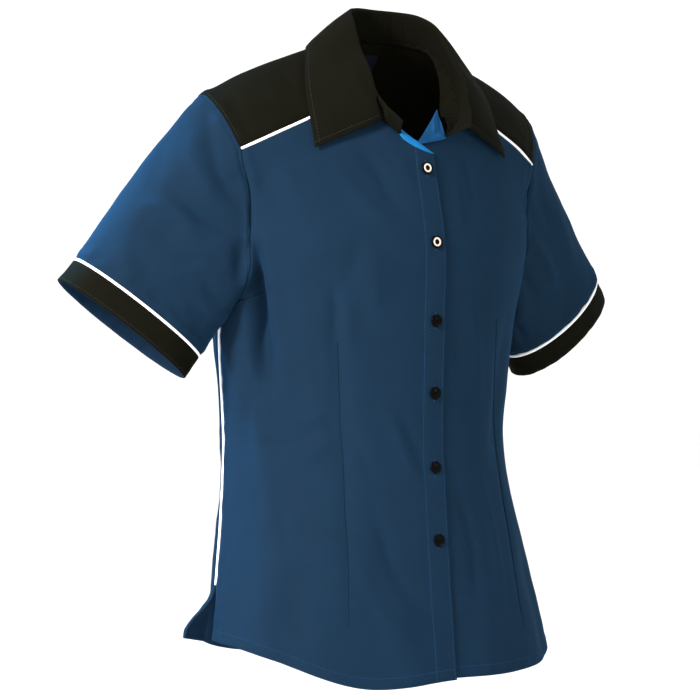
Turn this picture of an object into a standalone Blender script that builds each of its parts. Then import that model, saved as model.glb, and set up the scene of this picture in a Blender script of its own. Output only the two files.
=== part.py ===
"""A woman's short-sleeved racing pit shirt, filled out and hollow, with no wearer.

Metres, +Z up. The front faces -Y and the wearer's left is +X. The origin is the
middle of the neck opening, level with the sides of the neck.

The body is one smooth surface, torso(angle, z), read from a table of level
sections. The angle is 0 at the middle of the front, 90 at the wearer's left side
and 180 at the middle of the back. Fronts and back are pieces of that surface;
yoke, collar and sleeves start from its edges. Each piece of cloth is a grid of
points on its outer side, thickened inwards.
"""
import math

import bmesh
import bpy
import numpy as np

SHIRT = "racing_pit_shirt"

# Cloth and seams
CLOTH = 0.0012              # wall of one piece of cloth
BAND_CLOTH = 0.0016         # folded cloth of the sleeve bands
SEAM_GAP = 0.0003           # clear space between two pieces at a seam
PIPING = 0.0014             # radius of the piping cord
PIPING_SINK = 0.0003        # how far the cord's middle lies under the outer side
CORD_ROOM = 0.0021          # from the middle of the cord to the cloth beside it

# Level sections of the body, from the hem up: height, half width, then how far
# forward or back (y) the front, the side and the back are, and how round each
# half is (2 is an ellipse, less is flatter between its middle and its side).
SECTION_COLUMNS = ("z", "half", "front", "side", "back", "round_front", "round_back")
SECTIONS = (
    (-0.640, 0.2050, -0.1285, -0.016, 0.114, 2.0, 2.1),
    (-0.585, 0.1945, -0.1225, -0.009, 0.115, 2.0, 2.1),
    (-0.510, 0.1785, -0.1150, 0.003, 0.117, 2.0, 2.1),
    (-0.460, 0.1670, -0.1100, 0.015, 0.121, 2.0, 2.1),
    (-0.390, 0.1570, -0.1055, 0.026, 0.131, 2.0, 2.1),
    (-0.330, 0.1630, -0.1065, 0.024, 0.128, 2.0, 2.1),
    (-0.258, 0.1740, -0.1085, 0.020, 0.123, 2.0, 2.2),
    (-0.225, 0.1790, -0.1095, 0.015, 0.122, 2.0, 2.4),
    (-0.190, 0.1865, -0.1085, 0.010, 0.119, 1.9, 2.5),
    (-0.140, 0.1980, -0.0985, 0.004, 0.111, 1.6, 2.3),
    (-0.100, 0.2200, -0.0895, 0.000, 0.105, 1.4, 1.7),
    (-0.085, 0.2200, -0.0865, 0.000, 0.100, 1.4, 1.7),
    (-0.068, 0.1980, -0.0835, 0.000, 0.090, 1.4, 1.7),
    (-0.040, 0.1260, -0.0800, 0.000, 0.070, 1.4, 1.7),
)

# Side seam: the angle at each height, and where it ends and opens
SIDE_SEAM = ((-0.640, 95.0), (-0.510, 100.0), (-0.390, 101.0), (-0.290, 95.5), (-0.258, 91.0))
UNDERARM_Z = -0.258
VENT_TOP_Z = -0.533
VENT_FLARE = 0.027          # the back's corner stands out at the vent
VENT_REACH = 16.0           # degrees of the back that the flare takes in

# Hem: height at the side and the middle of the back, then angle and height on each front
HEM_SIDE_Z = -0.584
HEM_BACK_Z = -0.616
HEM_RIGHT = (
    (0.0, -0.6235), (25.0, -0.6270), (60.0, -0.5970), (78.0, -0.5870), (95.0, HEM_SIDE_Z),
)
HEM_LEFT = (
    (0.0, -0.6215), (30.0, -0.6225), (65.0, -0.6110), (80.0, -0.5980), (95.0, HEM_SIDE_Z),
)

# Armhole on the body: height and y, from the yoke down to the underarm
ARMHOLE_FRONT = (
    (-0.100, -0.031), (-0.140, -0.032), (-0.190, -0.031),
    (-0.225, -0.024), (-0.247, -0.006), (UNDERARM_Z, 0.018),
)
ARMHOLE_BACK = (
    (-0.100, 0.045), (-0.140, 0.052), (-0.190, 0.054),
    (-0.228, 0.048), (-0.249, 0.034), (UNDERARM_Z, 0.018),
)
# Armhole over the shoulder, between those two: x, y, z on the wearer's left
ARMHOLE_TOP = (
    (0.1905, -0.0250, -0.0820), (0.1980, -0.0120, -0.0600), (0.2040, 0.0100, -0.0440),
    (0.2005, 0.0280, -0.0560), (0.1935, 0.0390, -0.0780),
)

# Edges on the fronts, as x and height on the wearer's left, y following the body
YOKE_SEAM = ((0.1830, -0.100), (0.1535, -0.085), (0.1170, -0.068), (0.0640, -0.0425))
NECK_FRONT = ((0.0640, -0.0425), (0.0480, -0.066), (0.0290, -0.082))
EDGE_RIGHT = 0.0085         # the right front's edge passes the middle by this much,
EDGE_LEFT = 0.0165          # and the left front's, under it, by this much
LAPEL_RIGHT = ((0.0290, -0.082), (-EDGE_RIGHT, -0.100))
LAPEL_LEFT = ((0.0290, -0.082), (0.0215, -0.0545), (-EDGE_LEFT, -0.097))
LAP_RISE = 0.0008           # the right front rises, and the left sinks, at the buttons
LAP_HALF = 0.020            # they do so fully this far from the middle,
LAP_REACH = 0.045           # and less and less over this width beyond

BACK_YOKE_Z = -0.100
NECK_AT_TIP = 0.52          # share of the half neckline that faces the shoulder tip,
NECK_AT_BACK = 0.72         # and that faces the back end of the armhole
YOKE_RISE = 0.0035          # how far the yoke bows up between its edges

# Neckline behind the yoke seam, and the back yoke's middle line: x, y, z
NECK_BACK = (
    (0.0670, -0.0300, -0.0060), (0.0620, -0.0060, 0.0150),
    (0.0420, 0.0120, 0.0220), (0.0000, 0.0190, 0.0240),
)
YOKE_MIDDLE = (
    (0.0000, 0.1050, -0.1000), (0.0000, 0.0860, -0.0620),
    (0.0000, 0.0560, -0.0240), (0.0000, 0.0310, 0.0040), (0.0000, 0.0190, 0.0240),
)

# Collar, from the middle of the back to the front: place along the neckline
# (0 to 1), then x, y, z of the fold at the top, and of the leaf's lower edge.
COLLAR = (
    (0.00, (0.0000, 0.0040, 0.0535), (0.0000, 0.0420, 0.0060)),
    (0.18, (0.0260, -0.0020, 0.0525), (0.0450, 0.0320, 0.0060)),
    (0.34, (0.0440, -0.0170, 0.0475), (0.0818, 0.0026, 0.0110)),
    (0.50, (0.0537, -0.0366, 0.0340), (0.1014, -0.0222, -0.0066)),
    (0.66, (0.0585, -0.0560, 0.0040), (0.1160, -0.0440, -0.0365)),
)
# Further forward the fold belongs to the stand alone, and the leaf's upper edge
# leaves it and crosses the stand's outer side down to the neck seam.
STAND_FRONT = ((0.88, (0.0585, -0.0900, -0.0500)), (1.00, (0.0460, -0.1080, -0.0730)))
LEAF_FRONT = (
    (0.78, (0.0598, -0.0768, -0.0240), (0.1176, -0.0540, -0.0650)),
    (0.86, (0.0572, -0.0835, -0.0520), (0.1185, -0.0625, -0.0880)),
    (0.92, (0.0505, -0.0835, -0.0680), (0.1185, -0.0650, -0.0980)),
)
STAND_TUCK = 0.0022         # the stand's top edge lies inside the leaf's fold by this
LEAF_BULGE = 0.002          # how far the leaf bows out between its edges
LEAF_DRAW = 0.010           # the left leaf's lower edge lies nearer the neck by up to this
LEAF_DRAW_PLACES = (0.10, 0.88)         # between these places along the neckline
LEAF_CLIMB = 0.45           # and climbs the yoke by this share of it

# Sleeve end: the seam above the band is an ellipse
CUFF_MIDDLE = (0.2618, 0.0352, -0.2563)
CUFF_AXIS = (0.575, 0.165, -0.800)
CUFF_DOWN = (-0.7870, -0.1465, -0.6000)   # from its middle to the underarm side
CUFF_LONG = 0.0795
CUFF_SHORT = 0.0420
BAND_WIDTH = 0.0255
BAND_FLARE = 1.01
SLEEVE_LIFT = 0.022         # how strongly the sleeve leaves the shoulder outwards
SLEEVE_SET = (-0.0010, 0.0060, 0.0)     # how far its top line lies off that smooth path

# Largest folds, as soft ridges (+) and troughs (-) on the body: angle and height
# of both ends, half width and height of the fold
FOLDS = (
    (62.0, -0.275, 80.0, -0.375, 0.016, -0.0040),
    (74.0, -0.300, 70.0, -0.420, 0.014, 0.0030),
    (40.0, -0.270, 37.0, -0.400, 0.015, -0.0030),
    (18.0, -0.540, 14.0, -0.640, 0.022, 0.0035),
    (52.0, -0.500, 56.0, -0.640, 0.026, -0.0040),
    (128.0, -0.300, 150.0, -0.420, 0.020, -0.0040),
    (150.0, -0.480, 156.0, -0.640, 0.028, 0.0050),
    (172.0, -0.330, 168.0, -0.450, 0.022, -0.0035),
    (138.0, -0.150, 165.0, -0.190, 0.020, 0.0030),
)

# Buttons
BUTTON_RADIUS = 0.0065
BUTTON_X = -0.0040
BUTTON_HEIGHT = 0.0026
BUTTON_ZS = (-0.116, -0.190, -0.268, -0.340, -0.414, -0.486)
BUTTON_STEPS = 16
# Half of a button's outline, from its dished middle to its rim and down to the
# cloth: share of the radius and share of the height
BUTTON_OUTLINE = (
    (0.00, 0.62), (0.30, 0.62), (0.62, 0.66), (0.76, 0.96), (0.90, 1.00),
    (1.00, 0.68), (0.97, 0.22), (0.72, 0.00), (0.00, 0.00),
)

# Neck label
LABEL_HALF = 0.020
LABEL_Z = (-0.0090, 0.0100)
LABEL_CLOTH = 0.0010
LABEL_ROOM = 0.0012         # clear space between the label and the yoke at its middle
LABEL_BOW = 4.0             # how strongly its ends bow forward, per metre of width

# Grid sizes
YOKE_ROWS = 7
NECK_COLUMNS = 4
LAPEL_COLUMNS = 3
SIDE_ROWS = 15
ARMHOLE_ROWS = 8
SHOULDER_COLUMNS = 8
HALF_BACK_COLUMNS = 11
SLEEVE_ROWS = 9
COLLAR_COLUMNS = 32
FRONT_COLUMNS = YOKE_ROWS + NECK_COLUMNS + LAPEL_COLUMNS
BODY_ROWS = SIDE_ROWS + ARMHOLE_ROWS
FINE = 200                  # samples on a line before it is divided evenly

COLOURS = {
    "blue": ((0.012, 0.085, 0.240), 0.75),
    "black": ((0.012, 0.012, 0.010), 0.80),
    "white": ((0.800, 0.790, 0.760), 0.60),
    "button": ((0.010, 0.010, 0.012), 0.25),
    "navy": ((0.010, 0.014, 0.030), 0.70),
}


# Curves and surfaces

def through(knots, values, at):
    """Read a smooth curve that passes through the values at the knots."""
    knots = np.asarray(knots, float)
    values = np.asarray(values, float)
    at = np.clip(np.asarray(at, float), knots[0], knots[-1])
    low = np.clip(np.searchsorted(knots, at, side="right") - 1, 0, len(knots) - 2)
    slopes = np.gradient(values, knots, axis=0)
    step = knots[low + 1] - knots[low]
    t = (at - knots[low]) / step
    if values.ndim > 1:
        step = step[..., None]
        t = t[..., None]
    start = values[low] * (1 + 2 * t) * (1 - t) ** 2 + slopes[low] * step * t * (1 - t) ** 2
    end = values[low + 1] * t * t * (3 - 2 * t) + slopes[low + 1] * step * t * t * (t - 1)
    return start + end


def lengths(points):
    """Distance from the first point to each point along a line of points."""
    steps = np.linalg.norm(np.diff(points, axis=0), axis=1)
    return np.concatenate(([0.0], np.cumsum(steps)))


def unit(vectors):
    return vectors / np.linalg.norm(vectors, axis=-1, keepdims=True)


def smooth_step(t):
    t = np.clip(t, 0.0, 1.0)
    return t * t * (3 - 2 * t)


def mirrored(points):
    """The same points on the wearer's other side."""
    return np.asarray(points) * (-1.0, 1.0, 1.0)


def section(z):
    table = np.array(SECTIONS)
    return [through(table[:, 0], table[:, column], z) for column in range(1, len(SECTION_COLUMNS))]


def torso(angle, z):
    """Points on the body's outer side."""
    half, front, side, back, round_front, round_back = section(z)
    turn = np.radians(angle)
    across, ahead = np.sin(turn), np.cos(turn)
    power = 2.0 / np.where(ahead > 0, round_front, round_back)
    reach = np.where(ahead > 0, front - side, back - side)
    x = half * np.sign(across) * np.abs(across) ** power
    y = side + reach * np.abs(ahead) ** power
    return np.stack(np.broadcast_arrays(x, y, z), -1)


def angle_at_x(x, z):
    """Angle where the front of the body is at x."""
    half, front, side, back, round_front, round_back = section(z)
    share = np.clip(np.abs(x) / half, 0.0, 1.0) ** (round_front / 2.0)
    return np.sign(x) * np.degrees(np.arcsin(share))


def angle_at_y(y, z):
    """Angle where the wearer's left side of the body is at y."""
    half, front, side, back, round_front, round_back = section(z)
    ahead = y < side
    reach = np.where(ahead, front - side, back - side)
    power = np.where(ahead, round_front, round_back) / 2.0
    share = np.clip((y - side) / reach, 0.0, 1.0) ** power
    turn = np.degrees(np.arccos(share))
    return np.where(ahead, turn, 180.0 - turn)


def fold_height(angle, z):
    """How far the folds lift the cloth; the same folds lie on both sides."""
    half = section(z)[0]
    height = np.zeros(np.broadcast(angle, z).shape)
    for start_angle, start_z, end_angle, end_z, width, rise in FOLDS:
        across = np.radians(np.abs(angle) - start_angle) * half
        up = z - start_z
        run_across = np.radians(end_angle - start_angle) * half
        run_up = end_z - start_z
        run = run_across ** 2 + run_up ** 2
        along = (across * run_across + up * run_up) / run
        aside = (across * run_up - up * run_across) / np.sqrt(run)
        taper = smooth_step(along * 2 + 0.5) * smooth_step(2.5 - along * 2)
        height = height + rise * np.exp(-(aside / width) ** 2) * taper
    return height


def normals(grid):
    """Outward normals of a grid of points whose u runs round and v runs up."""
    return unit(np.cross(np.gradient(grid, axis=0), np.gradient(grid, axis=1)))


def evenly(line):
    """A line of (angle, z) pairs, as a function that walks it at an even pace."""
    distance = lengths(torso(line[:, 0], line[:, 1]))

    def walk(t):
        at = np.asarray(t) * distance[-1]
        return np.stack([np.interp(at, distance, line[:, 0]), np.interp(at, distance, line[:, 1])], -1)
    return walk


def divided(stretches):
    """Join (walk, count) stretches into one list of points, end to end."""
    points = []
    for walk, count in stretches:
        points.extend(walk(np.arange(count) / count))
    points.append(stretches[-1][0](1.0))
    return np.array(points)


def reversed_walk(walk):
    return lambda t: walk(1.0 - np.asarray(t))


def space_walk(points):
    """A smooth curve through points in space, walked at an even pace."""
    points = np.asarray(points, float)
    fine = through(lengths(points), points, np.linspace(0, lengths(points)[-1], FINE))
    distance = lengths(fine)

    def walk(t):
        at = np.asarray(t) * distance[-1]
        return np.stack([np.interp(at, distance, fine[:, axis]) for axis in range(3)], -1)
    return walk


def patch(left, right, low, high):
    """Fill the space between four edges; u runs from left to right, v from low to high."""
    u = np.linspace(0, 1, len(low))[:, None, None]
    v = np.linspace(0, 1, len(left))[None, :, None]
    sides = (1 - u) * left[None] + u * right[None]
    ends = (1 - v) * low[:, None] + v * high[:, None]
    corners = (1 - u) * ((1 - v) * left[0] + v * left[-1]) + u * ((1 - v) * right[0] + v * right[-1])
    return sides + ends - corners


def draw_back(grid, edge, distance):
    """Move one edge of a grid of points squarely back along its surface."""
    across = grid.transpose(1, 0, 2)
    lines = {"u0": grid, "u1": grid[::-1], "v0": across, "v1": across[::-1]}[edge]
    run = np.gradient(lines[0], axis=0)
    if np.allclose(lines[0][0], lines[0][-1]):
        run[0] = run[-1] = lines[0][1] - lines[0][-2]
    along = unit(run)
    inward = lines[1] - lines[0]
    inward = unit(inward - along * np.sum(inward * along, axis=-1, keepdims=True))
    lines[0] = lines[0] + inward * np.reshape(distance, (-1, 1))


# Lines on the body

def back_hem_z(angle):
    """The back's hem curves up towards the side seams."""
    return HEM_BACK_Z + (HEM_SIDE_Z - HEM_BACK_Z) * np.sin(np.radians(angle)) ** 2


def side_angle(z):
    table = np.array(SIDE_SEAM)
    return through(table[:, 0], table[:, 1], z)


def side_line():
    z = np.linspace(HEM_SIDE_Z, UNDERARM_Z, FINE)
    return evenly(np.stack([side_angle(z), z], -1))


def armhole_line(table):
    """From the underarm up to the yoke."""
    knots = lengths(np.array(table))
    z, y = through(knots, table, np.linspace(knots[-1], 0, FINE)).T
    line = np.stack([angle_at_y(y, z), z], -1)
    line[0, 0] = side_angle(UNDERARM_Z)
    return evenly(line)


def front_line(table):
    """A line on the fronts from a table of x and height."""
    table = np.array(table)
    knots = lengths(table)
    x, z = through(knots, table, np.linspace(0, knots[-1], FINE)).T
    return evenly(np.stack([angle_at_x(x, z), z], -1))


def straight_line(table):
    """The same with sharp corners, as a list of one walk for each stretch."""
    return [front_line((start, end)) for start, end in zip(table, table[1:])]


def front_grid(lapel, hem):
    """Grid of (angle, z) on the left front, from its overlap to its side."""
    corner = lapel[-1]
    lapel_walks = [reversed_walk(walk) for walk in reversed(straight_line(lapel))]
    counts = (LAPEL_COLUMNS,) if len(lapel_walks) == 1 else (LAPEL_COLUMNS - 1, 1)
    high = divided(
        list(zip(lapel_walks, counts))
        + [(reversed_walk(front_line(NECK_FRONT)), NECK_COLUMNS)]
        + [(reversed_walk(front_line(YOKE_SEAM)), YOKE_ROWS)])
    right = divided([(side_line(), SIDE_ROWS), (armhole_line(ARMHOLE_FRONT), ARMHOLE_ROWS)])
    hem = np.array(hem)
    low_angles = np.linspace(angle_at_x(corner[0], hem[0, 1]), right[0, 0], FINE)
    low_z = through(hem[:, 0], hem[:, 1], low_angles)
    low = evenly(np.stack([low_angles, low_z], -1))(np.linspace(0, 1, FRONT_COLUMNS + 1))
    edge_z = np.linspace(hem[0, 1], corner[1], BODY_ROWS + 1)
    left = np.stack([angle_at_x(corner[0], edge_z), edge_z], -1)
    low[0], high[0] = left[0], left[-1]
    return patch(left, right, low, high)


def body_points(grid):
    """Points of a grid of (angle, z), with the folds raised on it."""
    points = torso(grid[..., 0], grid[..., 1])
    return points + normals(points) * fold_height(grid[..., 0], grid[..., 1])[..., None]


def lap(points, rise):
    """Lift or lower a front near the buttons, where one lies on the other."""
    share = 1 - smooth_step((np.abs(points[..., 0]) - LAP_HALF) / LAP_REACH)
    return points + normals(points) * (rise * share)[..., None]


# Parts as grids of points

def front_left_points():
    points = lap(body_points(front_grid(LAPEL_LEFT, HEM_LEFT)), -LAP_RISE)
    trim_front(points)
    return points


def front_right_points():
    points = lap(body_points(front_grid(LAPEL_RIGHT, HEM_RIGHT)), LAP_RISE)
    trim_front(points)
    return mirrored(points)[::-1]


def trim_front(points):
    """Leave room at the seams of a front, which runs from its overlap to its side."""
    side = np.full(BODY_ROWS + 1, CORD_ROOM)
    side[SIDE_ROWS + 1:] = SEAM_GAP
    top = np.full(FRONT_COLUMNS + 1, SEAM_GAP)
    top[-YOKE_ROWS:] = CORD_ROOM
    top[-YOKE_ROWS - 1] = 1.5 * CORD_ROOM
    draw_back(points, "u1", side)
    draw_back(points, "v1", top)


def back_points():
    left = divided([(side_line(), SIDE_ROWS), (armhole_line(ARMHOLE_BACK), ARMHOLE_ROWS)])
    right = left * (-1.0, 1.0) + (360.0, 0.0)
    columns = 2 * HALF_BACK_COLUMNS
    low_angles = np.linspace(left[0, 0], right[0, 0], columns + 1)
    high_angles = np.linspace(left[-1, 0], right[-1, 0], FINE)
    top = evenly(np.stack([high_angles, np.full(FINE, BACK_YOKE_Z)], -1))
    low = np.stack([low_angles, back_hem_z(low_angles)], -1)
    grid = patch(left, right, low, top(np.linspace(0, 1, columns + 1)))
    turned = np.where(grid[..., 0] > 180.0, 360.0 - grid[..., 0], grid[..., 0])
    points = torso(grid[..., 0], grid[..., 1])
    outward = normals(points)
    beside = 1 - (turned - side_angle(grid[..., 1])) / VENT_REACH
    below = (VENT_TOP_Z - grid[..., 1]) / (VENT_TOP_Z - HEM_SIDE_Z)
    flare = VENT_FLARE * smooth_step(beside) * smooth_step(below)
    points = points + outward * (fold_height(turned, grid[..., 1]) + flare)[..., None]
    side = np.full(BODY_ROWS + 1, CORD_ROOM)
    side[SIDE_ROWS + 1:] = SEAM_GAP
    draw_back(points, "u0", side)
    draw_back(points, "u1", side)
    draw_back(points, "v1", np.full(columns + 1, SEAM_GAP))
    return points


def armhole_top_walk():
    """From the front end of the yoke over the shoulder to its back end."""
    start = torso(*armhole_line(ARMHOLE_FRONT)(1.0))
    end = torso(*armhole_line(ARMHOLE_BACK)(1.0))
    return space_walk([start, *ARMHOLE_TOP, end])


def neck_walk():
    """Neckline from the yoke's front seam on the left, round the back, to the right."""
    start = torso(*front_line(NECK_FRONT)(0.0))
    half = np.array([start, *NECK_BACK])
    return space_walk(np.concatenate([half, mirrored(half[:-1])[::-1]]))


def whole_neck_walk():
    """Neckline from the left collar end, round the back, to the right one."""
    front = front_line(NECK_FRONT)(np.linspace(1, 0, 5))
    half = np.concatenate([torso(front[:, 0], front[:, 1]), NECK_BACK])
    return space_walk(np.concatenate([half, mirrored(half[:-1])[::-1]]))


def half_yoke_points():
    """Left half of the yoke; u runs from its front seam to the middle of the back."""
    seam = front_line(YOKE_SEAM)(np.linspace(0, 1, YOKE_ROWS + 1))
    left = torso(seam[:, 0], seam[:, 1])
    right = space_walk(YOKE_MIDDLE)(np.linspace(0, 1, YOKE_ROWS + 1))
    start = armhole_line(ARMHOLE_BACK)(1.0)
    back_angles = np.linspace(start[0], 180.0, FINE)
    back = evenly(np.stack([back_angles, np.full(FINE, BACK_YOKE_Z)], -1))
    back_seam = back(np.linspace(0, 1, HALF_BACK_COLUMNS + 1)[1:])
    over = armhole_top_walk()(np.linspace(0, 1, SHOULDER_COLUMNS + 1))
    low = np.concatenate([over, torso(back_seam[:, 0], back_seam[:, 1])])
    tip, back_corner, middle = SHOULDER_COLUMNS // 2, SHOULDER_COLUMNS, len(low) - 1
    facing = ((0, 0.0), (tip, NECK_AT_TIP), (back_corner, NECK_AT_BACK), (middle, 1.0))
    columns, shares = zip(*facing)
    high = neck_walk()(0.5 * through(columns, shares, np.arange(len(low))))
    flat = patch(left, right, low, high)
    u = np.linspace(0, 1, len(low))[:, None, None]
    v = np.linspace(0, 1, len(left))[None, :, None]
    return flat + normals(flat) * YOKE_RISE * np.sin(np.pi * np.sqrt(u)) * np.sin(np.pi * v)


def yoke_points():
    half = half_yoke_points()
    points = np.concatenate([half, mirrored(half[:-1])[::-1]])
    draw_back(points, "u0", np.full(YOKE_ROWS + 1, CORD_ROOM))
    draw_back(points, "u1", np.full(YOKE_ROWS + 1, CORD_ROOM))
    draw_back(points, "v0", np.full(len(points), SEAM_GAP))
    draw_back(points, "v1", np.full(len(points), SEAM_GAP))
    return points


def armhole_loop():
    """The whole left armhole: over the shoulder from front to back, and under."""
    over = armhole_top_walk()(np.arange(SHOULDER_COLUMNS) / SHOULDER_COLUMNS)
    behind = armhole_line(ARMHOLE_BACK)(1 - np.arange(ARMHOLE_ROWS) / ARMHOLE_ROWS)
    before = armhole_line(ARMHOLE_FRONT)(np.arange(ARMHOLE_ROWS) / ARMHOLE_ROWS)
    under = np.concatenate([behind, before])
    return np.concatenate([over, torso(under[:, 0], under[:, 1])])


def cuff_loop(turn, along=0.0, scale=1.0):
    """Points round the sleeve's end; turn 0 is its top fold and 90 its back."""
    axis = unit(np.array(CUFF_AXIS))
    down = unit(np.array(CUFF_DOWN))
    back = unit(np.cross(axis, down))
    turn = np.radians(turn)[:, None]
    ring = -down * CUFF_LONG * np.cos(turn) + back * CUFF_SHORT * np.sin(turn)
    return np.array(CUFF_MIDDLE) + axis * along + ring * scale


def sleeve_turns():
    """Turn at the sleeve's end that each point of the armhole runs to."""
    loop = armhole_loop()
    closed = lengths(np.concatenate([loop, loop[:1]]))
    top = SHOULDER_COLUMNS // 2
    under = SHOULDER_COLUMNS + ARMHOLE_ROWS
    round_back = (closed[:-1] - closed[top]) / (closed[under] - closed[top]) * 180.0
    whole = closed[-1]
    past = np.where(closed[:-1] < closed[top], closed[:-1] + whole, closed[:-1])
    round_front = 180.0 + (past - closed[under]) / (whole + closed[top] - closed[under]) * 180.0
    behind = (np.arange(len(loop)) >= top) & (np.arange(len(loop)) <= under)
    return np.where(behind, round_back, round_front)


def closed_loop(points):
    return np.concatenate([points, points[:1]])


def sleeve_points():
    """Left sleeve; u runs round from front to back, v from the band to the shoulder."""
    start = armhole_loop()
    turns = sleeve_turns()
    end = cuff_loop(turns)
    axis = unit(np.array(CUFF_AXIS))
    outward = unit(start - start.mean(axis=0)) * SLEEVE_LIFT + (end - start)
    reach = np.linalg.norm(end - start, axis=1)[:, None]
    t = np.linspace(1, 0, SLEEVE_ROWS + 1)[None, :, None]
    rows = (start[:, None] * (1 + 2 * t) * (1 - t) ** 2
            + outward[:, None] * t * (1 - t) ** 2
            + end[:, None] * t * t * (3 - 2 * t)
            + (axis * reach)[:, None] * t * t * (t - 1))
    above = 0.5 + 0.5 * np.cos(np.radians(turns))
    rows = rows + above[:, None, None] * np.array(SLEEVE_SET) * 4 * t * (1 - t)
    points = closed_loop(rows)
    draw_back(points, "v0", np.full(len(points), PIPING + SEAM_GAP))
    draw_back(points, "v1", np.full(len(points), 3 * SEAM_GAP))
    return points


def band_points():
    """Left sleeve band; v runs from its free edge up to the piping."""
    turns = sleeve_turns()
    middle = PIPING + SEAM_GAP + 0.5 * (BAND_WIDTH - PIPING)
    rings = [
        cuff_loop(turns, BAND_WIDTH, BAND_FLARE),
        cuff_loop(turns, middle, 0.5 + 0.5 * BAND_FLARE),
        cuff_loop(turns, PIPING + SEAM_GAP),
    ]
    return closed_loop(np.stack(rings, 1))


def collar_lines(rows, count, columns):
    """Smooth lines through the collar's table, from the left end round to the right."""
    place = np.array([row[0] for row in rows])
    wanted = np.abs(np.linspace(-1, 1, columns + 1)) * place[-1]
    side = np.where(np.linspace(-1, 1, columns + 1) < 0, 1.0, -1.0)
    whole = np.concatenate([-place[:0:-1], place])
    lines = [np.interp(wanted, place, place)]
    for column in range(1, count):
        half = np.array([row[column] for row in rows])
        both = np.concatenate([mirrored(half[:0:-1]), half])
        line = through(whole, both, wanted)
        line[:, 0] *= side
        lines.append(line)
    return lines


def stand_points():
    """Collar stand; v runs from the neckline up to the fold."""
    rows = [row[:2] for row in COLLAR] + list(STAND_FRONT)
    place, fold = collar_lines(rows, 2, COLLAR_COLUMNS)
    side = np.where(np.linspace(-1, 1, COLLAR_COLUMNS + 1) < 0, -1.0, 1.0)
    neck = whole_neck_walk()(0.5 + 0.5 * side * place)
    v = np.linspace(0, 1, 3)[None, :, None]
    points = neck[:, None] * (1 - v) + fold[:, None] * v
    points = points - normals(points) * STAND_TUCK * v
    draw_back(points, "v0", np.full(len(points), SEAM_GAP + CLOTH))
    draw_back(points, "v1", np.full(len(points), STAND_TUCK))
    return points


def leaf_points():
    """Collar leaf; v runs from its free edge up to the fold."""
    place, fold, edge = collar_lines(COLLAR + LEAF_FRONT, 3, COLLAR_COLUMNS)
    start, end = LEAF_DRAW_PLACES
    share = np.sin(np.pi * np.clip((place - start) / (end - start), 0, 1)) ** 2
    drawn = LEAF_DRAW * share * (edge[:, 0] > 0)
    edge = edge + drawn[:, None] * (-1.0, 0.0, LEAF_CLIMB)
    v = np.linspace(0, 1, 6)[None, :, None]
    points = edge[:, None] * (1 - v) + fold[:, None] * v
    return points + normals(points) * LEAF_BULGE * 4 * v * (1 - v)


def label_points():
    """A flat label on the inner side of the yoke, below the neckline."""
    middle = space_walk(YOKE_MIDDLE)(np.linspace(0, 1, FINE))
    z = np.linspace(*LABEL_Z, 4)
    order = np.argsort(middle[:, 2])
    y = np.interp(z, middle[order, 2], middle[order, 1]) - CLOTH - LABEL_ROOM
    x = np.linspace(-LABEL_HALF, LABEL_HALF, 5)
    bow = LABEL_BOW * x ** 2
    grid = np.zeros((5, 4, 3))
    grid[..., 0] = x[::-1, None]
    grid[..., 1] = y[None] - bow[:, None]
    grid[..., 2] = z[None]
    return grid


# Blender objects

def clear_scene():
    for item in list(bpy.data.objects):
        bpy.data.objects.remove(item)


def material(name, colour_name):
    """A plain material of the named colour for one piece."""
    colour, roughness = COLOURS[colour_name]
    made = bpy.data.materials.new(name)
    made.use_nodes = True
    shader = made.node_tree.nodes["Principled BSDF"]
    shader.inputs["Base Color"].default_value = (*colour, 1.0)
    shader.inputs["Roughness"].default_value = roughness
    shader.inputs["Metallic"].default_value = 0.0
    made.diffuse_color = (*colour, 1.0)
    return made


def place_object(name, data, colour_name):
    item = bpy.data.objects.new(name, data)
    bpy.data.collections[SHIRT].objects.link(item)
    data.materials.append(material(name, colour_name))
    item.parent = bpy.data.objects[SHIRT + "_origin"]
    return item


def cloth(name, points, colour_name, thickness=CLOTH):
    """A wall of cloth: a flat grid bent to the points, then thickened inwards."""
    columns, rows = points.shape[0] - 1, points.shape[1] - 1
    bm = bmesh.new()
    bmesh.ops.create_grid(bm, x_segments=columns, y_segments=rows, size=0.5)
    for vertex in bm.verts:
        column = round((vertex.co.x + 0.5) * columns)
        row = round((vertex.co.y + 0.5) * rows)
        vertex.co = points[column, row]
    bmesh.ops.remove_doubles(bm, verts=bm.verts, dist=0.00001)
    mesh = bpy.data.meshes.new(name)
    bm.to_mesh(mesh)
    bm.free()
    mesh.shade_smooth()
    item = place_object(name, mesh, colour_name)
    wall = item.modifiers.new("Cloth", "SOLIDIFY")
    wall.thickness = thickness
    wall.offset = -1.0
    wall.use_even_offset = True
    wall.use_quality_normals = True
    return item


def cord(name, points, outward, closed=False):
    """A piping cord along the points, sunk a little under the outer side."""
    curve = bpy.data.curves.new(name, "CURVE")
    curve.dimensions = "3D"
    curve.bevel_depth = PIPING
    curve.bevel_resolution = 2
    curve.use_fill_caps = True
    spline = curve.splines.new("POLY")
    spline.points.add(len(points) - 1)
    spline.use_cyclic_u = closed
    for point, place in zip(spline.points, points - outward * PIPING_SINK):
        point.co = (*place, 1.0)
    return place_object(name, curve, "white")


def trimmed(points, length):
    """Shorten a line of points at both ends."""
    distance = lengths(points)
    inner = distance.clip(length, distance[-1] - length)
    return np.stack([np.interp(inner, distance, points[:, axis]) for axis in range(3)], -1)


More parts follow.
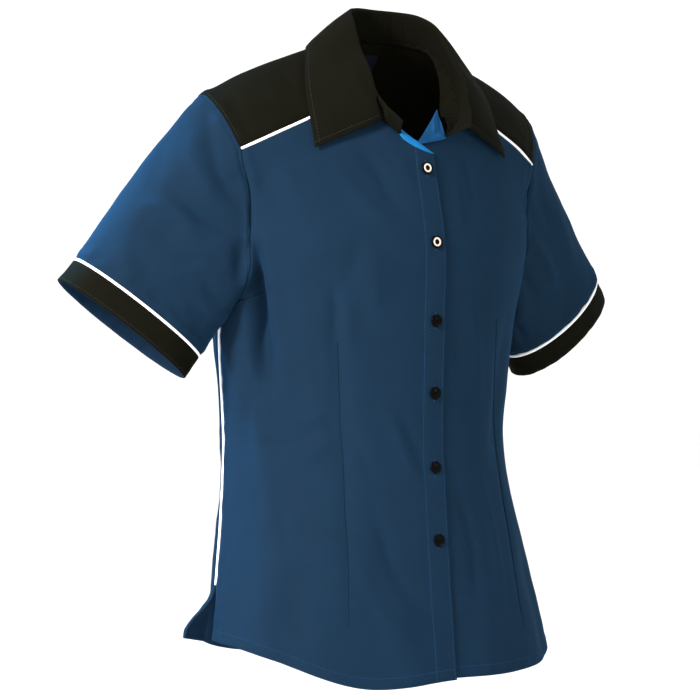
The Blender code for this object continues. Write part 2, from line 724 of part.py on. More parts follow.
def add_piping():
    seam = front_line(YOKE_SEAM)(np.linspace(0, 1, YOKE_ROWS + 1))
    line = torso(seam[:, 0], seam[:, 1])
    ahead = torso(seam[:, 0] - 2.0, seam[:, 1]) - line
    outward = unit(np.cross(ahead, np.gradient(line, axis=0)))
    outward *= np.sign(-outward[:, 1:2])
    yoke_line = trimmed(line, 2 * SEAM_GAP)

    side = side_line()(np.linspace(0, 1, SIDE_ROWS + 1))
    line = torso(side[:, 0], side[:, 1])
    kept = np.searchsorted(line[:, 2], VENT_TOP_Z)
    side_line_points = trimmed(line[kept:], 8 * SEAM_GAP)
    side_outward = np.tile((1.0, 0.0, 0.0), (len(side_line_points), 1))

    loop = cuff_loop(sleeve_turns())
    away = unit(loop - np.array(CUFF_MIDDLE))
    for word, turn in (("left", np.asarray), ("right", mirrored)):
        cord(f"piping_yoke_{word}", turn(yoke_line), turn(outward))
        cord(f"piping_side_{word}", turn(side_line_points), turn(side_outward))
        cord(f"piping_sleeve_{word}", turn(loop), turn(away), closed=True)


def add_buttons():
    """Turned buttons with a rim and a dished middle, on the right front."""
    places = np.array(BUTTON_ZS)
    turn = angle_at_x(BUTTON_X, places)
    skin = torso(turn, places)
    slope = unit(torso(turn, places + 0.005) - torso(turn, places - 0.005))
    mesh = bpy.data.meshes.new("button")
    bm = bmesh.new()
    corners = []
    for radius, level in BUTTON_OUTLINE:
        corners.append(bm.verts.new((radius * BUTTON_RADIUS, 0.0, level * BUTTON_HEIGHT)))
    for start, end in zip(corners, corners[1:]):
        bm.edges.new((start, end))
    bm.to_mesh(mesh)
    bm.free()
    for number, (place, along) in enumerate(zip(skin, slope), 1):
        item = place_object(f"button_{number}", mesh.copy(), "button")
        turned = item.modifiers.new("Turned", "SCREW")
        turned.angle = math.radians(360)
        turned.steps = BUTTON_STEPS
        turned.render_steps = BUTTON_STEPS
        turned.use_merge_vertices = True
        turned.merge_threshold = 0.00001
        outward = np.cross((1.0, 0.0, 0.0), along)
        item.location = place + outward * (LAP_RISE + 2 * SEAM_GAP)
        item.rotation_euler = (math.atan2(-outward[1], outward[2]), 0.0, 0.0)
    bpy.data.meshes.remove(mesh)


def build():
    clear_scene()
    home = bpy.data.collections.new(SHIRT)
    bpy.context.scene.collection.children.link(home)
    origin = bpy.data.objects.new(SHIRT + "_origin", None)
    home.objects.link(origin)

    cloth("front_right", front_right_points(), "blue")
    cloth("front_left", front_left_points(), "blue")
    cloth("back", back_points(), "blue")
    cloth("yoke", yoke_points(), "black")
    cloth("collar_stand", stand_points(), "black")
    cloth("collar_leaf", leaf_points(), "black")
    cloth("sleeve_left", sleeve_points(), "blue")
    cloth("sleeve_right", mirrored(sleeve_points())[::-1], "blue")
    cloth("cuff_left", band_points(), "black", BAND_CLOTH)
    cloth("cuff_right", mirrored(band_points())[::-1], "black", BAND_CLOTH)
    cloth("label", label_points(), "navy", LABEL_CLOTH)
    add_piping()
    add_buttons()


build()
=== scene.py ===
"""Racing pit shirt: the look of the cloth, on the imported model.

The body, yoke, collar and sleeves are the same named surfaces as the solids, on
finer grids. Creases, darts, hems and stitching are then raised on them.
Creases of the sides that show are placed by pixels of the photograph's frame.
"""
import math

import bpy
import numpy as np
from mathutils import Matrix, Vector, noise


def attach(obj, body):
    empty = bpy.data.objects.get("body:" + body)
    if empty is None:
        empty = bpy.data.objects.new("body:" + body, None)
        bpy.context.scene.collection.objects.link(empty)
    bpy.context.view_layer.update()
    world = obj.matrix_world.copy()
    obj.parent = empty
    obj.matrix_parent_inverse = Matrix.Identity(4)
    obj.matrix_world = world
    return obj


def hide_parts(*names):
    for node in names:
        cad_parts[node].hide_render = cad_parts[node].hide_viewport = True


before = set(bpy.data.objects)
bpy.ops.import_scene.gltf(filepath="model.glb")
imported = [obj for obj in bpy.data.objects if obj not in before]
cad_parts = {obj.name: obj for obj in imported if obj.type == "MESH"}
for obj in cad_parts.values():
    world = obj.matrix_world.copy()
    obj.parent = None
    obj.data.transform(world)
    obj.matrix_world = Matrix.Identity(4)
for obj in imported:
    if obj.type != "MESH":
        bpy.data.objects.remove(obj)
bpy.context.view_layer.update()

FINE_GRID = 8               # finer than the solids' grids by this much
NORMAL_REACH = 5            # grid lines to each side that a normal is averaged over

# Cloth and seams
CLOTH = 0.0012              # wall of one piece of cloth
BAND_CLOTH = 0.0016         # folded cloth of the sleeve bands
SEAM_GAP = 0.0003           # clear space between two pieces at a seam
PIPING = 0.0014             # radius of the piping cord
PIPING_SINK = 0.0003        # how far the cord's middle lies under the outer side
CORD_ROOM = 0.0021          # from the middle of the cord to the cloth beside it

# Level sections of the body, from the hem up: height, half width, then how far
# forward or back (y) the front, the side and the back are, and how round each
# half is (2 is an ellipse, less is flatter between its middle and its side).
SECTION_COLUMNS = ("z", "half", "front", "side", "back", "round_front", "round_back")
SECTIONS = (
    (-0.640, 0.2050, -0.1285, -0.016, 0.114, 2.0, 2.1),
    (-0.585, 0.1945, -0.1225, -0.009, 0.115, 2.0, 2.1),
    (-0.510, 0.1785, -0.1150, 0.003, 0.117, 2.0, 2.1),
    (-0.460, 0.1670, -0.1100, 0.015, 0.121, 2.0, 2.1),
    (-0.390, 0.1570, -0.1055, 0.026, 0.131, 2.0, 2.1),
    (-0.330, 0.1630, -0.1065, 0.024, 0.128, 2.0, 2.1),
    (-0.258, 0.1740, -0.1085, 0.020, 0.123, 2.0, 2.2),
    (-0.225, 0.1790, -0.1095, 0.015, 0.122, 2.0, 2.4),
    (-0.190, 0.1865, -0.1085, 0.010, 0.119, 1.9, 2.5),
    (-0.140, 0.1980, -0.0985, 0.004, 0.111, 1.6, 2.3),
    (-0.100, 0.2200, -0.0895, 0.000, 0.105, 1.4, 1.7),
    (-0.085, 0.2200, -0.0865, 0.000, 0.100, 1.4, 1.7),
    (-0.068, 0.1980, -0.0835, 0.000, 0.090, 1.4, 1.7),
    (-0.040, 0.1260, -0.0800, 0.000, 0.070, 1.4, 1.7),
)

# Side seam: the angle at each height, and where it ends and opens
SIDE_SEAM = ((-0.640, 95.0), (-0.510, 100.0), (-0.390, 101.0), (-0.290, 95.5), (-0.258, 91.0))
UNDERARM_Z = -0.258
VENT_TOP_Z = -0.533
VENT_FLARE = 0.027          # the back's corner stands out at the vent
VENT_REACH = 16.0           # degrees of the back that the flare takes in

# Hem: height at the side and the middle of the back, then angle and height on each front
HEM_SIDE_Z = -0.584
HEM_BACK_Z = -0.616
HEM_RIGHT = (
    (0.0, -0.6235), (25.0, -0.6270), (60.0, -0.5970), (78.0, -0.5870), (95.0, HEM_SIDE_Z),
)
HEM_LEFT = (
    (0.0, -0.6215), (30.0, -0.6225), (65.0, -0.6110), (80.0, -0.5980), (95.0, HEM_SIDE_Z),
)

# Armhole on the body: height and y, from the yoke down to the underarm
ARMHOLE_FRONT = (
    (-0.100, -0.031), (-0.140, -0.032), (-0.190, -0.031),
    (-0.225, -0.024), (-0.247, -0.006), (UNDERARM_Z, 0.018),
)
ARMHOLE_BACK = (
    (-0.100, 0.045), (-0.140, 0.052), (-0.190, 0.054),
    (-0.228, 0.048), (-0.249, 0.034), (UNDERARM_Z, 0.018),
)
# Armhole over the shoulder, between those two: x, y, z on the wearer's left
ARMHOLE_TOP = (
    (0.1905, -0.0250, -0.0820), (0.1980, -0.0120, -0.0600), (0.2040, 0.0100, -0.0440),
    (0.2005, 0.0280, -0.0560), (0.1935, 0.0390, -0.0780),
)

# Edges on the fronts, as x and height on the wearer's left, y following the body
YOKE_SEAM = ((0.1830, -0.100), (0.1535, -0.085), (0.1170, -0.068), (0.0640, -0.0425))
NECK_FRONT = ((0.0640, -0.0425), (0.0480, -0.066), (0.0290, -0.082))
EDGE_RIGHT = 0.0085         # the right front's edge passes the middle by this much,
EDGE_LEFT = 0.0165          # and the left front's, under it, by this much
LAPEL_RIGHT = ((0.0290, -0.082), (-EDGE_RIGHT, -0.100))
LAPEL_LEFT = ((0.0290, -0.082), (0.0215, -0.0545), (-EDGE_LEFT, -0.097))
LAPEL_FOOT = (-EDGE_LEFT, -0.0915)    # where the left lapel's fold line starts
LAP_RISE = 0.0008           # the right front rises, and the left sinks, at the buttons
LAP_HALF = 0.020            # they do so fully this far from the middle,
LAP_REACH = 0.045           # and less and less over this width beyond

BACK_YOKE_Z = -0.100
NECK_AT_TIP = 0.52          # share of the half neckline that faces the shoulder tip,
NECK_AT_BACK = 0.72         # and that faces the back end of the armhole
YOKE_RISE = 0.0035          # how far the yoke bows up between its edges

# Neckline behind the yoke seam, and the back yoke's middle line: x, y, z
NECK_BACK = (
    (0.0670, -0.0300, -0.0060), (0.0620, -0.0060, 0.0150),
    (0.0420, 0.0120, 0.0220), (0.0000, 0.0190, 0.0240),
)
YOKE_MIDDLE = (
    (0.0000, 0.1050, -0.1000), (0.0000, 0.0860, -0.0620),
    (0.0000, 0.0560, -0.0240), (0.0000, 0.0310, 0.0040), (0.0000, 0.0190, 0.0240),
)

# Collar, from the middle of the back to the front: place along the neckline
# (0 to 1), then x, y, z of the fold at the top, and of the leaf's lower edge.
COLLAR = (
    (0.00, (0.0000, 0.0040, 0.0535), (0.0000, 0.0420, 0.0060)),
    (0.18, (0.0260, -0.0020, 0.0525), (0.0450, 0.0320, 0.0060)),
    (0.34, (0.0440, -0.0170, 0.0475), (0.0818, 0.0026, 0.0110)),
    (0.50, (0.0537, -0.0366, 0.0340), (0.1014, -0.0222, -0.0066)),
    (0.66, (0.0585, -0.0560, 0.0040), (0.1160, -0.0440, -0.0365)),
)
# Further forward the fold belongs to the stand alone, and the leaf's upper edge
# leaves it and crosses the stand's outer side down to the neck seam.
STAND_FRONT = ((0.88, (0.0585, -0.0900, -0.0500)), (1.00, (0.0460, -0.1080, -0.0730)))
LEAF_FRONT = (
    (0.78, (0.0598, -0.0768, -0.0240), (0.1176, -0.0540, -0.0650)),
    (0.86, (0.0572, -0.0835, -0.0520), (0.1185, -0.0625, -0.0880)),
    (0.92, (0.0505, -0.0835, -0.0680), (0.1185, -0.0650, -0.0980)),
)
STAND_TUCK = 0.0022         # the stand's top edge lies inside the leaf's fold by this
LEAF_BULGE = 0.002          # how far the leaf bows out between its edges
LEAF_DRAW = 0.010           # the left leaf's lower edge lies nearer the neck by up to this
LEAF_DRAW_PLACES = (0.10, 0.88)         # between these places along the neckline
LEAF_CLIMB = 0.45           # and climbs the yoke by this share of it

# Sleeve end: the seam above the band is an ellipse
CUFF_MIDDLE = (0.2618, 0.0352, -0.2563)
CUFF_AXIS = (0.575, 0.165, -0.800)
CUFF_DOWN = (-0.7870, -0.1465, -0.6000)   # from its middle to the underarm side
CUFF_LONG = 0.0795
CUFF_SHORT = 0.0420
BAND_WIDTH = 0.0255
BAND_FLARE = 1.01
SLEEVE_LIFT = 0.022         # how strongly the sleeve leaves the shoulder outwards
SLEEVE_SET = (-0.0010, 0.0060, 0.0)     # how far its top line lies off that smooth path

# Largest folds, as soft ridges (+) and troughs (-) on the body: angle and height
# of both ends, half width and height of the fold
FOLDS = (
    (62.0, -0.275, 80.0, -0.375, 0.016, -0.0040),
    (74.0, -0.300, 70.0, -0.420, 0.014, 0.0030),
    (40.0, -0.270, 37.0, -0.400, 0.015, -0.0030),
    (18.0, -0.540, 14.0, -0.640, 0.022, 0.0035),
    (52.0, -0.500, 56.0, -0.640, 0.026, -0.0040),
    (128.0, -0.300, 150.0, -0.420, 0.020, -0.0040),
    (150.0, -0.480, 156.0, -0.640, 0.028, 0.0050),
    (172.0, -0.330, 168.0, -0.450, 0.022, -0.0035),
    (138.0, -0.150, 165.0, -0.190, 0.020, 0.0030),
)

# Buttons
BUTTON_RADIUS = 0.0065
BUTTON_X = -0.0040
BUTTON_HEIGHT = 0.0026
BUTTON_ZS = (-0.116, -0.190, -0.268, -0.340, -0.414, -0.486)

# Neck label
LABEL_HALF = 0.020
LABEL_Z = (-0.0090, 0.0100)
LABEL_CLOTH = 0.0010
LABEL_ROOM = 0.0012         # clear space between the label and the yoke at its middle
LABEL_BOW = 4.0             # how strongly its ends bow forward, per metre of width

# Grid sizes
LABEL_COLUMNS = 41
LABEL_ROWS = 21
YOKE_ROWS = 7 * FINE_GRID
NECK_COLUMNS = 3 * FINE_GRID
LAPEL_COLUMNS = 3 * FINE_GRID
SIDE_ROWS = 15 * FINE_GRID
ARMHOLE_ROWS = 7 * FINE_GRID
SHOULDER_COLUMNS = 7 * FINE_GRID
HALF_BACK_COLUMNS = 11 * FINE_GRID
SLEEVE_ROWS = 12 * FINE_GRID
COLLAR_COLUMNS = 28 * FINE_GRID
FRONT_COLUMNS = YOKE_ROWS + NECK_COLUMNS + LAPEL_COLUMNS
BODY_ROWS = SIDE_ROWS + ARMHOLE_ROWS
FINE = 1200                 # samples on a line before it is divided evenly

# Curves and surfaces


def hermite(start, end, leave, arrive, t):
    """A smooth path between two points that leaves and arrives along two vectors."""
    return (start * (1 + 2 * t) * (1 - t) ** 2 + leave * t * (1 - t) ** 2
            + end * t * t * (3 - 2 * t) + arrive * t * t * (t - 1))


def through(knots, values, at):
    """Read a smooth curve that passes through the values at the knots."""
    knots = np.asarray(knots, float)
    values = np.asarray(values, float)
    at = np.clip(np.asarray(at, float), knots[0], knots[-1])
    low = np.clip(np.searchsorted(knots, at, side="right") - 1, 0, len(knots) - 2)
    slopes = np.gradient(values, knots, axis=0)
    step = knots[low + 1] - knots[low]
    t = (at - knots[low]) / step
    if values.ndim > 1:
        step, t = step[..., None], t[..., None]
    return hermite(values[low], values[low + 1], slopes[low] * step, slopes[low + 1] * step, t)


def lengths(points):
    """Distance from the first point to each point along a line of points."""
    steps = np.linalg.norm(np.diff(points, axis=0), axis=1)
    return np.concatenate(([0.0], np.cumsum(steps)))


def read_along(at, places, points):
    """Points read off a line of points, at these places along it."""
    return np.stack([np.interp(at, places, points[:, axis]) for axis in range(points.shape[1])], -1)


def unit(vectors):
    return vectors / np.linalg.norm(vectors, axis=-1, keepdims=True)


def smooth_step(t):
    t = np.clip(t, 0.0, 1.0)
    return t * t * (3 - 2 * t)


def hump(distance, middle, half):
    """A soft hump of height 1, this far from a line and this wide to each side."""
    return np.exp(-((distance - middle) / half) ** 2)


def mirrored(points):
    """The same points on the wearer's other side."""
    return np.asarray(points) * (-1.0, 1.0, 1.0)


def both_sides(half):
    """A left half and its mirror image, which share the half's last row."""
    return np.concatenate([half, mirrored(half[:-1])[::-1]])


def section(z):
    table = np.array(SECTIONS)
    return [through(table[:, 0], table[:, column], z) for column in range(1, len(SECTION_COLUMNS))]


def torso(angle, z):
    """Points on the body's outer side."""
    half, front, side, back, round_front, round_back = section(z)
    turn = np.radians(angle)
    across, ahead = np.sin(turn), np.cos(turn)
    power = 2.0 / np.where(ahead > 0, round_front, round_back)
    reach = np.where(ahead > 0, front - side, back - side)
    x = half * np.sign(across) * np.abs(across) ** power
    y = side + reach * np.abs(ahead) ** power
    return np.stack(np.broadcast_arrays(x, y, z), -1)


def angle_at_x(x, z):
    """Angle where the front of the body is at x."""
    half, front, side, back, round_front, round_back = section(z)
    share = np.clip(np.abs(x) / half, 0.0, 1.0) ** (round_front / 2.0)
    return np.sign(x) * np.degrees(np.arcsin(share))


def angle_at_y(y, z):
    """Angle where the wearer's left side of the body is at y."""
    half, front, side, back, round_front, round_back = section(z)
    ahead = y < side
    reach = np.where(ahead, front - side, back - side)
    power = np.where(ahead, round_front, round_back) / 2.0
    share = np.clip((y - side) / reach, 0.0, 1.0) ** power
    turn = np.degrees(np.arccos(share))
    return np.where(ahead, turn, 180.0 - turn)


def fold_height(angle, z):
    """How far the folds lift the cloth; the same folds lie on both sides."""
    half = section(z)[0]
    height = np.zeros(np.broadcast(angle, z).shape)
    for start_angle, start_z, end_angle, end_z, width, rise in FOLDS:
        across = np.radians(np.abs(angle) - start_angle) * half
        up = z - start_z
        run_across = np.radians(end_angle - start_angle) * half
        run_up = end_z - start_z
        run = run_across ** 2 + run_up ** 2
        along = (across * run_across + up * run_up) / run
        aside = (across * run_up - up * run_across) / np.sqrt(run)
        taper = smooth_step(along * 2 + 0.5) * smooth_step(2.5 - along * 2)
        height = height + rise * np.exp(-(aside / width) ** 2) * taper
    return height


def normals(grid):
    """Outward normals of a grid of points whose u runs round and v runs up."""
    facing = np.cross(np.gradient(grid, axis=0), np.gradient(grid, axis=1))
    padded = np.pad(facing, ((NORMAL_REACH, NORMAL_REACH), (0, 0), (0, 0)), mode="edge")
    return unit(sum(padded[shift:shift + len(grid)] for shift in range(2 * NORMAL_REACH + 1)))


def evenly(line):
    """A line of (angle, z) pairs, as a function that walks it at an even pace."""
    distance = lengths(torso(*line.T))
    return lambda t: read_along(np.asarray(t) * distance[-1], distance, line)


def divided(stretches):
    """Join (walk, count) stretches into one list of points, end to end."""
    points = []
    for walk, count in stretches:
        points.extend(walk(np.arange(count) / count))
    points.append(stretches[-1][0](1.0))
    return np.array(points)


def space_walk(points):
    """A smooth curve through points in space, walked at an even pace."""
    knots = lengths(points)
    fine = through(knots, points, np.linspace(0, knots[-1], FINE))
    distance = lengths(fine)
    return lambda t: read_along(np.asarray(t) * distance[-1], distance, fine)


def patch(left, right, low, high):
    """Fill the space between four edges; u runs from left to right, v from low to high."""
    u = np.linspace(0, 1, len(low))[:, None, None]
    v = np.linspace(0, 1, len(left))[None, :, None]
    sides = (1 - u) * left[None] + u * right[None]
    ends = (1 - v) * low[:, None] + v * high[:, None]
    corners = (1 - u) * ((1 - v) * left[0] + v * left[-1]) + u * ((1 - v) * right[0] + v * right[-1])
    return sides + ends - corners


def rows_from(grid, edge):
    """The grid as lines of points beside an edge, from the edge inwards."""
    across = grid.transpose(1, 0, 2)
    return {"u0": grid, "u1": grid[::-1], "v0": across, "v1": across[::-1]}[edge]


def depths(lines):
    """Distance of each point from the first of the lines, measured over the cloth."""
    steps = np.linalg.norm(np.diff(lines, axis=0), axis=-1)
    return np.concatenate([np.zeros((1, lines.shape[1])), np.cumsum(steps, axis=0)])


def edge_distance(grid, *edges):
    """Distance of each point from the nearest of these edges, measured over the cloth."""
    found = []
    for edge in edges:
        far = depths(rows_from(grid, edge))
        found.append({"u0": far, "u1": far[::-1], "v0": far.T, "v1": far[::-1].T}[edge])
    return np.minimum.reduce(found)


def draw_back(grid, edge, distance):
    """Move one edge of a grid of points squarely back along its surface."""
    lines = rows_from(grid, edge)
    run = np.gradient(lines[0], axis=0)
    if np.allclose(lines[0][0], lines[0][-1]):
        run[0] = run[-1] = lines[0][1] - lines[0][-2]
    along = unit(run)
    inward = lines[1] - lines[0]
    inward = unit(inward - along * np.sum(inward * along, axis=-1, keepdims=True))
    inward = inward * np.reshape(distance, (-1, 1))
    reach = min(FINE_GRID, len(lines) - 1)
    for row in range(reach):
        lines[row] = lines[row] + inward * (1 - row / reach)


# Lines on the body


def back_hem_z(angle):
    """The back's hem curves up towards the side seams."""
    return HEM_BACK_Z + (HEM_SIDE_Z - HEM_BACK_Z) * np.sin(np.radians(angle)) ** 2


def side_angle(z):
    table = np.array(SIDE_SEAM)
    return through(table[:, 0], table[:, 1], z)


def side_line():
    z = np.linspace(HEM_SIDE_Z, UNDERARM_Z, FINE)
    return evenly(np.stack([side_angle(z), z], -1))


def armhole_line(table):
    """From the underarm up to the yoke."""
    knots = lengths(np.array(table))
    z, y = through(knots, table, np.linspace(knots[-1], 0, FINE)).T
    line = np.stack([angle_at_y(y, z), z], -1)
    line[0, 0] = side_angle(UNDERARM_Z)
    return evenly(line)


def front_line(table):
    """A line on the fronts from a table of x and height."""
    table = np.array(table)
    knots = lengths(table)
    x, z = through(knots, table, np.linspace(0, knots[-1], FINE)).T
    return evenly(np.stack([angle_at_x(x, z), z], -1))


def back_seam(start, end):
    """The level seam between the back and the yoke, from one angle to another."""
    return evenly(np.stack([np.linspace(start, end, FINE), np.full(FINE, BACK_YOKE_Z)], -1))


def side_edge(armhole):
    """Left side of a front or the back: up the side seam, then the armhole."""
    return divided([(side_line(), SIDE_ROWS), (armhole_line(armhole), ARMHOLE_ROWS)])


def side_room():
    """What that edge leaves free: room for the piping, then a seam's gap."""
    return np.repeat((CORD_ROOM, SEAM_GAP), (SIDE_ROWS + 1, ARMHOLE_ROWS))


def front_grid(lapel, hem):
    """Grid of (angle, z) on the left front, from its overlap to its side."""
    stretches = ((lapel, LAPEL_COLUMNS), (NECK_FRONT, NECK_COLUMNS), (YOKE_SEAM, YOKE_ROWS))
    high = divided([(front_line(table[::-1]), count) for table, count in stretches])
    right = side_edge(ARMHOLE_FRONT)
    corner = lapel[-1]
    hem = np.array(hem)
    low_angles = np.linspace(angle_at_x(corner[0], hem[0, 1]), right[0, 0], FINE)
    low_z = through(hem[:, 0], hem[:, 1], low_angles)
    low = evenly(np.stack([low_angles, low_z], -1))(np.linspace(0, 1, FRONT_COLUMNS + 1))
    edge_z = np.linspace(hem[0, 1], corner[1], BODY_ROWS + 1)
    left = np.stack([angle_at_x(corner[0], edge_z), edge_z], -1)
    low[0], high[0] = left[0], left[-1]
    return patch(left, right, low, high)


def body_points(grid):
    """Points of a grid of (angle, z), with the folds raised on it."""
    points = torso(grid[..., 0], grid[..., 1])
    return points + normals(points) * fold_height(grid[..., 0], grid[..., 1])[..., None]


def lap(points, rise):
    """Lift or lower a front near the buttons, where one lies on the other."""
    share = 1 - smooth_step((np.abs(points[..., 0]) - LAP_HALF) / LAP_REACH)
    return points + normals(points) * (rise * share)[..., None]


# Parts as grids of points


def front_points(lapel, hem, rise):
    """A front on the wearer's left, with room at its seams."""
    points = lap(body_points(front_grid(lapel, hem)), rise)
    top = np.full(FRONT_COLUMNS + 1, SEAM_GAP)
    top[-YOKE_ROWS:] = CORD_ROOM
    top[-YOKE_ROWS - 1] = 1.5 * CORD_ROOM
    draw_back(points, "u1", side_room())
    draw_back(points, "v1", top)
    return points


def back_points():
    left = side_edge(ARMHOLE_BACK)
    right = left * (-1.0, 1.0) + (360.0, 0.0)
    columns = 2 * HALF_BACK_COLUMNS + 1
    low_angles = np.linspace(left[0, 0], right[0, 0], columns)
    low = np.stack([low_angles, back_hem_z(low_angles)], -1)
    high = back_seam(left[-1, 0], right[-1, 0])(np.linspace(0, 1, columns))
    grid = patch(left, right, low, high)
    angle, z = grid[..., 0], grid[..., 1]
    turned_back = np.where(angle > 180.0, 360.0 - angle, angle)
    points = torso(angle, z)
    beside = 1 - (turned_back - side_angle(z)) / VENT_REACH
    below = (VENT_TOP_Z - z) / (VENT_TOP_Z - HEM_SIDE_Z)
    flare = VENT_FLARE * smooth_step(beside) * smooth_step(below)
    points = points + normals(points) * (fold_height(turned_back, z) + flare)[..., None]
    for edge, room in (("u0", side_room()), ("u1", side_room()), ("v1", SEAM_GAP)):
        draw_back(points, edge, room)
    return points


def armhole_top_walk():
    """From the front end of the yoke over the shoulder to its back end."""
    start = torso(*armhole_line(ARMHOLE_FRONT)(1.0))
    end = torso(*armhole_line(ARMHOLE_BACK)(1.0))
    return space_walk([start, *ARMHOLE_TOP, end])


def neck_walk(*front):
    """Neckline from the left, round the back, to the right; it starts at these places
    of its front, where 1 is the collar's end and 0 the yoke's front seam."""
    start = torso(*front_line(NECK_FRONT)(np.array(front)).T)
    return space_walk(both_sides(np.concatenate([start, NECK_BACK])))


def half_yoke_points():
    """Left half of the yoke; u runs from its front seam to the middle of the back."""
    places = np.linspace(0, 1, YOKE_ROWS + 1)
    left = torso(*front_line(YOKE_SEAM)(places).T)
    right = space_walk(YOKE_MIDDLE)(places)
    over = armhole_top_walk()(np.linspace(0, 1, SHOULDER_COLUMNS + 1))
    start = armhole_line(ARMHOLE_BACK)(1.0)
    behind = back_seam(start[0], 180.0)(np.linspace(0, 1, HALF_BACK_COLUMNS + 1)[1:])
    low = np.concatenate([over, torso(*behind.T)])
    columns = (0, SHOULDER_COLUMNS // 2, SHOULDER_COLUMNS, len(low) - 1)
    shares = through(columns, (0.0, NECK_AT_TIP, NECK_AT_BACK, 1.0), np.arange(len(low)))
    flat = patch(left, right, low, neck_walk(0.0)(0.5 * shares))
    u = np.linspace(0, 1, len(low))[:, None, None]
    v = places[None, :, None]
    return flat + normals(flat) * YOKE_RISE * np.sin(np.pi * np.sqrt(u)) * np.sin(np.pi * v)


def yoke_points():
    points = both_sides(half_yoke_points())
    for edge, room in (("u0", CORD_ROOM), ("u1", CORD_ROOM), ("v0", SEAM_GAP), ("v1", SEAM_GAP)):
        draw_back(points, edge, room)
    return points


def armhole_loop():
    """The whole left armhole: over the shoulder from front to back, and under."""
    over = armhole_top_walk()(np.arange(SHOULDER_COLUMNS) / SHOULDER_COLUMNS)
    share = np.arange(ARMHOLE_ROWS) / ARMHOLE_ROWS
    behind = armhole_line(ARMHOLE_BACK)(1 - share)
    before = armhole_line(ARMHOLE_FRONT)(share)
    return np.concatenate([over, torso(*behind.T), torso(*before.T)])


def cuff_loop(turn, along=0.0, scale=1.0):
    """Points round the sleeve's end; turn 0 is its top fold and 90 its back."""
    axis = unit(np.array(CUFF_AXIS))
    down = unit(np.array(CUFF_DOWN))
    back = unit(np.cross(axis, down))
    turn = np.radians(turn)[:, None]
    ring = -down * CUFF_LONG * np.cos(turn) + back * CUFF_SHORT * np.sin(turn)
    return np.array(CUFF_MIDDLE) + axis * along + ring * scale


def sleeve_turns():
    """Turn at the sleeve's end that each point of the armhole runs to."""
    loop = armhole_loop()
    closed = lengths(np.concatenate([loop, loop[:1]]))
    top = SHOULDER_COLUMNS // 2
    under = SHOULDER_COLUMNS + ARMHOLE_ROWS
    round_back = (closed[:-1] - closed[top]) / (closed[under] - closed[top]) * 180.0
    whole = closed[-1]
    past = np.where(closed[:-1] < closed[top], closed[:-1] + whole, closed[:-1])
    round_front = 180.0 + (past - closed[under]) / (whole + closed[top] - closed[under]) * 180.0
    behind = (np.arange(len(loop)) >= top) & (np.arange(len(loop)) <= under)
    return np.where(behind, round_back, round_front)


def closed_loop(points):
    return np.concatenate([points, points[:1]])


def sleeve_points():
    """Left sleeve; u runs round from front to back, v from the band to the shoulder."""
    start = armhole_loop()
    turns = sleeve_turns()
    end = cuff_loop(turns)
    leave = unit(start - start.mean(axis=0)) * SLEEVE_LIFT + (end - start)
    arrive = unit(np.array(CUFF_AXIS)) * np.linalg.norm(end - start, axis=1)[:, None]
    t = np.linspace(1, 0, SLEEVE_ROWS + 1)[None, :, None]
    rows = hermite(start[:, None], end[:, None], leave[:, None], arrive[:, None], t)
    above = 0.5 + 0.5 * np.cos(np.radians(turns))
    rows = rows + above[:, None, None] * np.array(SLEEVE_SET) * 4 * t * (1 - t)
    points = closed_loop(rows)
    draw_back(points, "v0", PIPING + SEAM_GAP)
    draw_back(points, "v1", 3 * SEAM_GAP)
    return points


def band_points():
    """Left sleeve band; v runs from its free edge up to the piping."""
    turns = sleeve_turns()
    top = PIPING + SEAM_GAP
    rings = []
    for place in np.linspace(1, 0, 2 * FINE_GRID):
        along = top + (BAND_WIDTH - top) * place
        rings.append(cuff_loop(turns, along, 1 + (BAND_FLARE - 1) * place))
    return closed_loop(np.stack(rings, 1))


def collar_lines(rows):
    """Smooth lines through the collar's table, from the left end round to the right."""
    place = np.array([row[0] for row in rows])
    across = np.linspace(-1, 1, COLLAR_COLUMNS + 1)
    wanted = np.abs(across) * place[-1]
    side = np.where(across < 0, 1.0, -1.0)
    whole = np.concatenate([-place[:0:-1], place])
    lines = [wanted]
    for column in range(1, len(rows[-1])):
        half = np.array([row[column] for row in rows])
        line = through(whole, np.concatenate([mirrored(half[:0:-1]), half]), wanted)
        line[:, 0] *= side
        lines.append(line)
    return lines


def stand_points():
    """Collar stand; v runs from the neckline up to the fold."""
    place, fold = collar_lines([row[:2] for row in COLLAR] + list(STAND_FRONT))
    side = np.sign(np.linspace(-1, 1, len(place)))
    neck = neck_walk(*np.linspace(1, 0, 5))(0.5 + 0.5 * side * place)
    v = np.linspace(0, 1, 3 * FINE_GRID)[None, :, None]
    points = neck[:, None] * (1 - v) + fold[:, None] * v
    points = points - normals(points) * STAND_TUCK * v
    draw_back(points, "v0", SEAM_GAP + CLOTH)
    draw_back(points, "v1", STAND_TUCK)
    return points


def leaf_points():
    """Collar leaf; v runs from its free edge up to the fold."""
    place, fold, edge = collar_lines(COLLAR + LEAF_FRONT)
    start, end = LEAF_DRAW_PLACES
    share = np.sin(np.pi * np.clip((place - start) / (end - start), 0, 1)) ** 2
    drawn = LEAF_DRAW * share * (edge[:, 0] > 0)
    edge = edge + drawn[:, None] * (-1.0, 0.0, LEAF_CLIMB)
    v = np.linspace(0, 1, 6 * FINE_GRID)[None, :, None]
    points = edge[:, None] * (1 - v) + fold[:, None] * v
    return points + normals(points) * LEAF_BULGE * 4 * v * (1 - v)


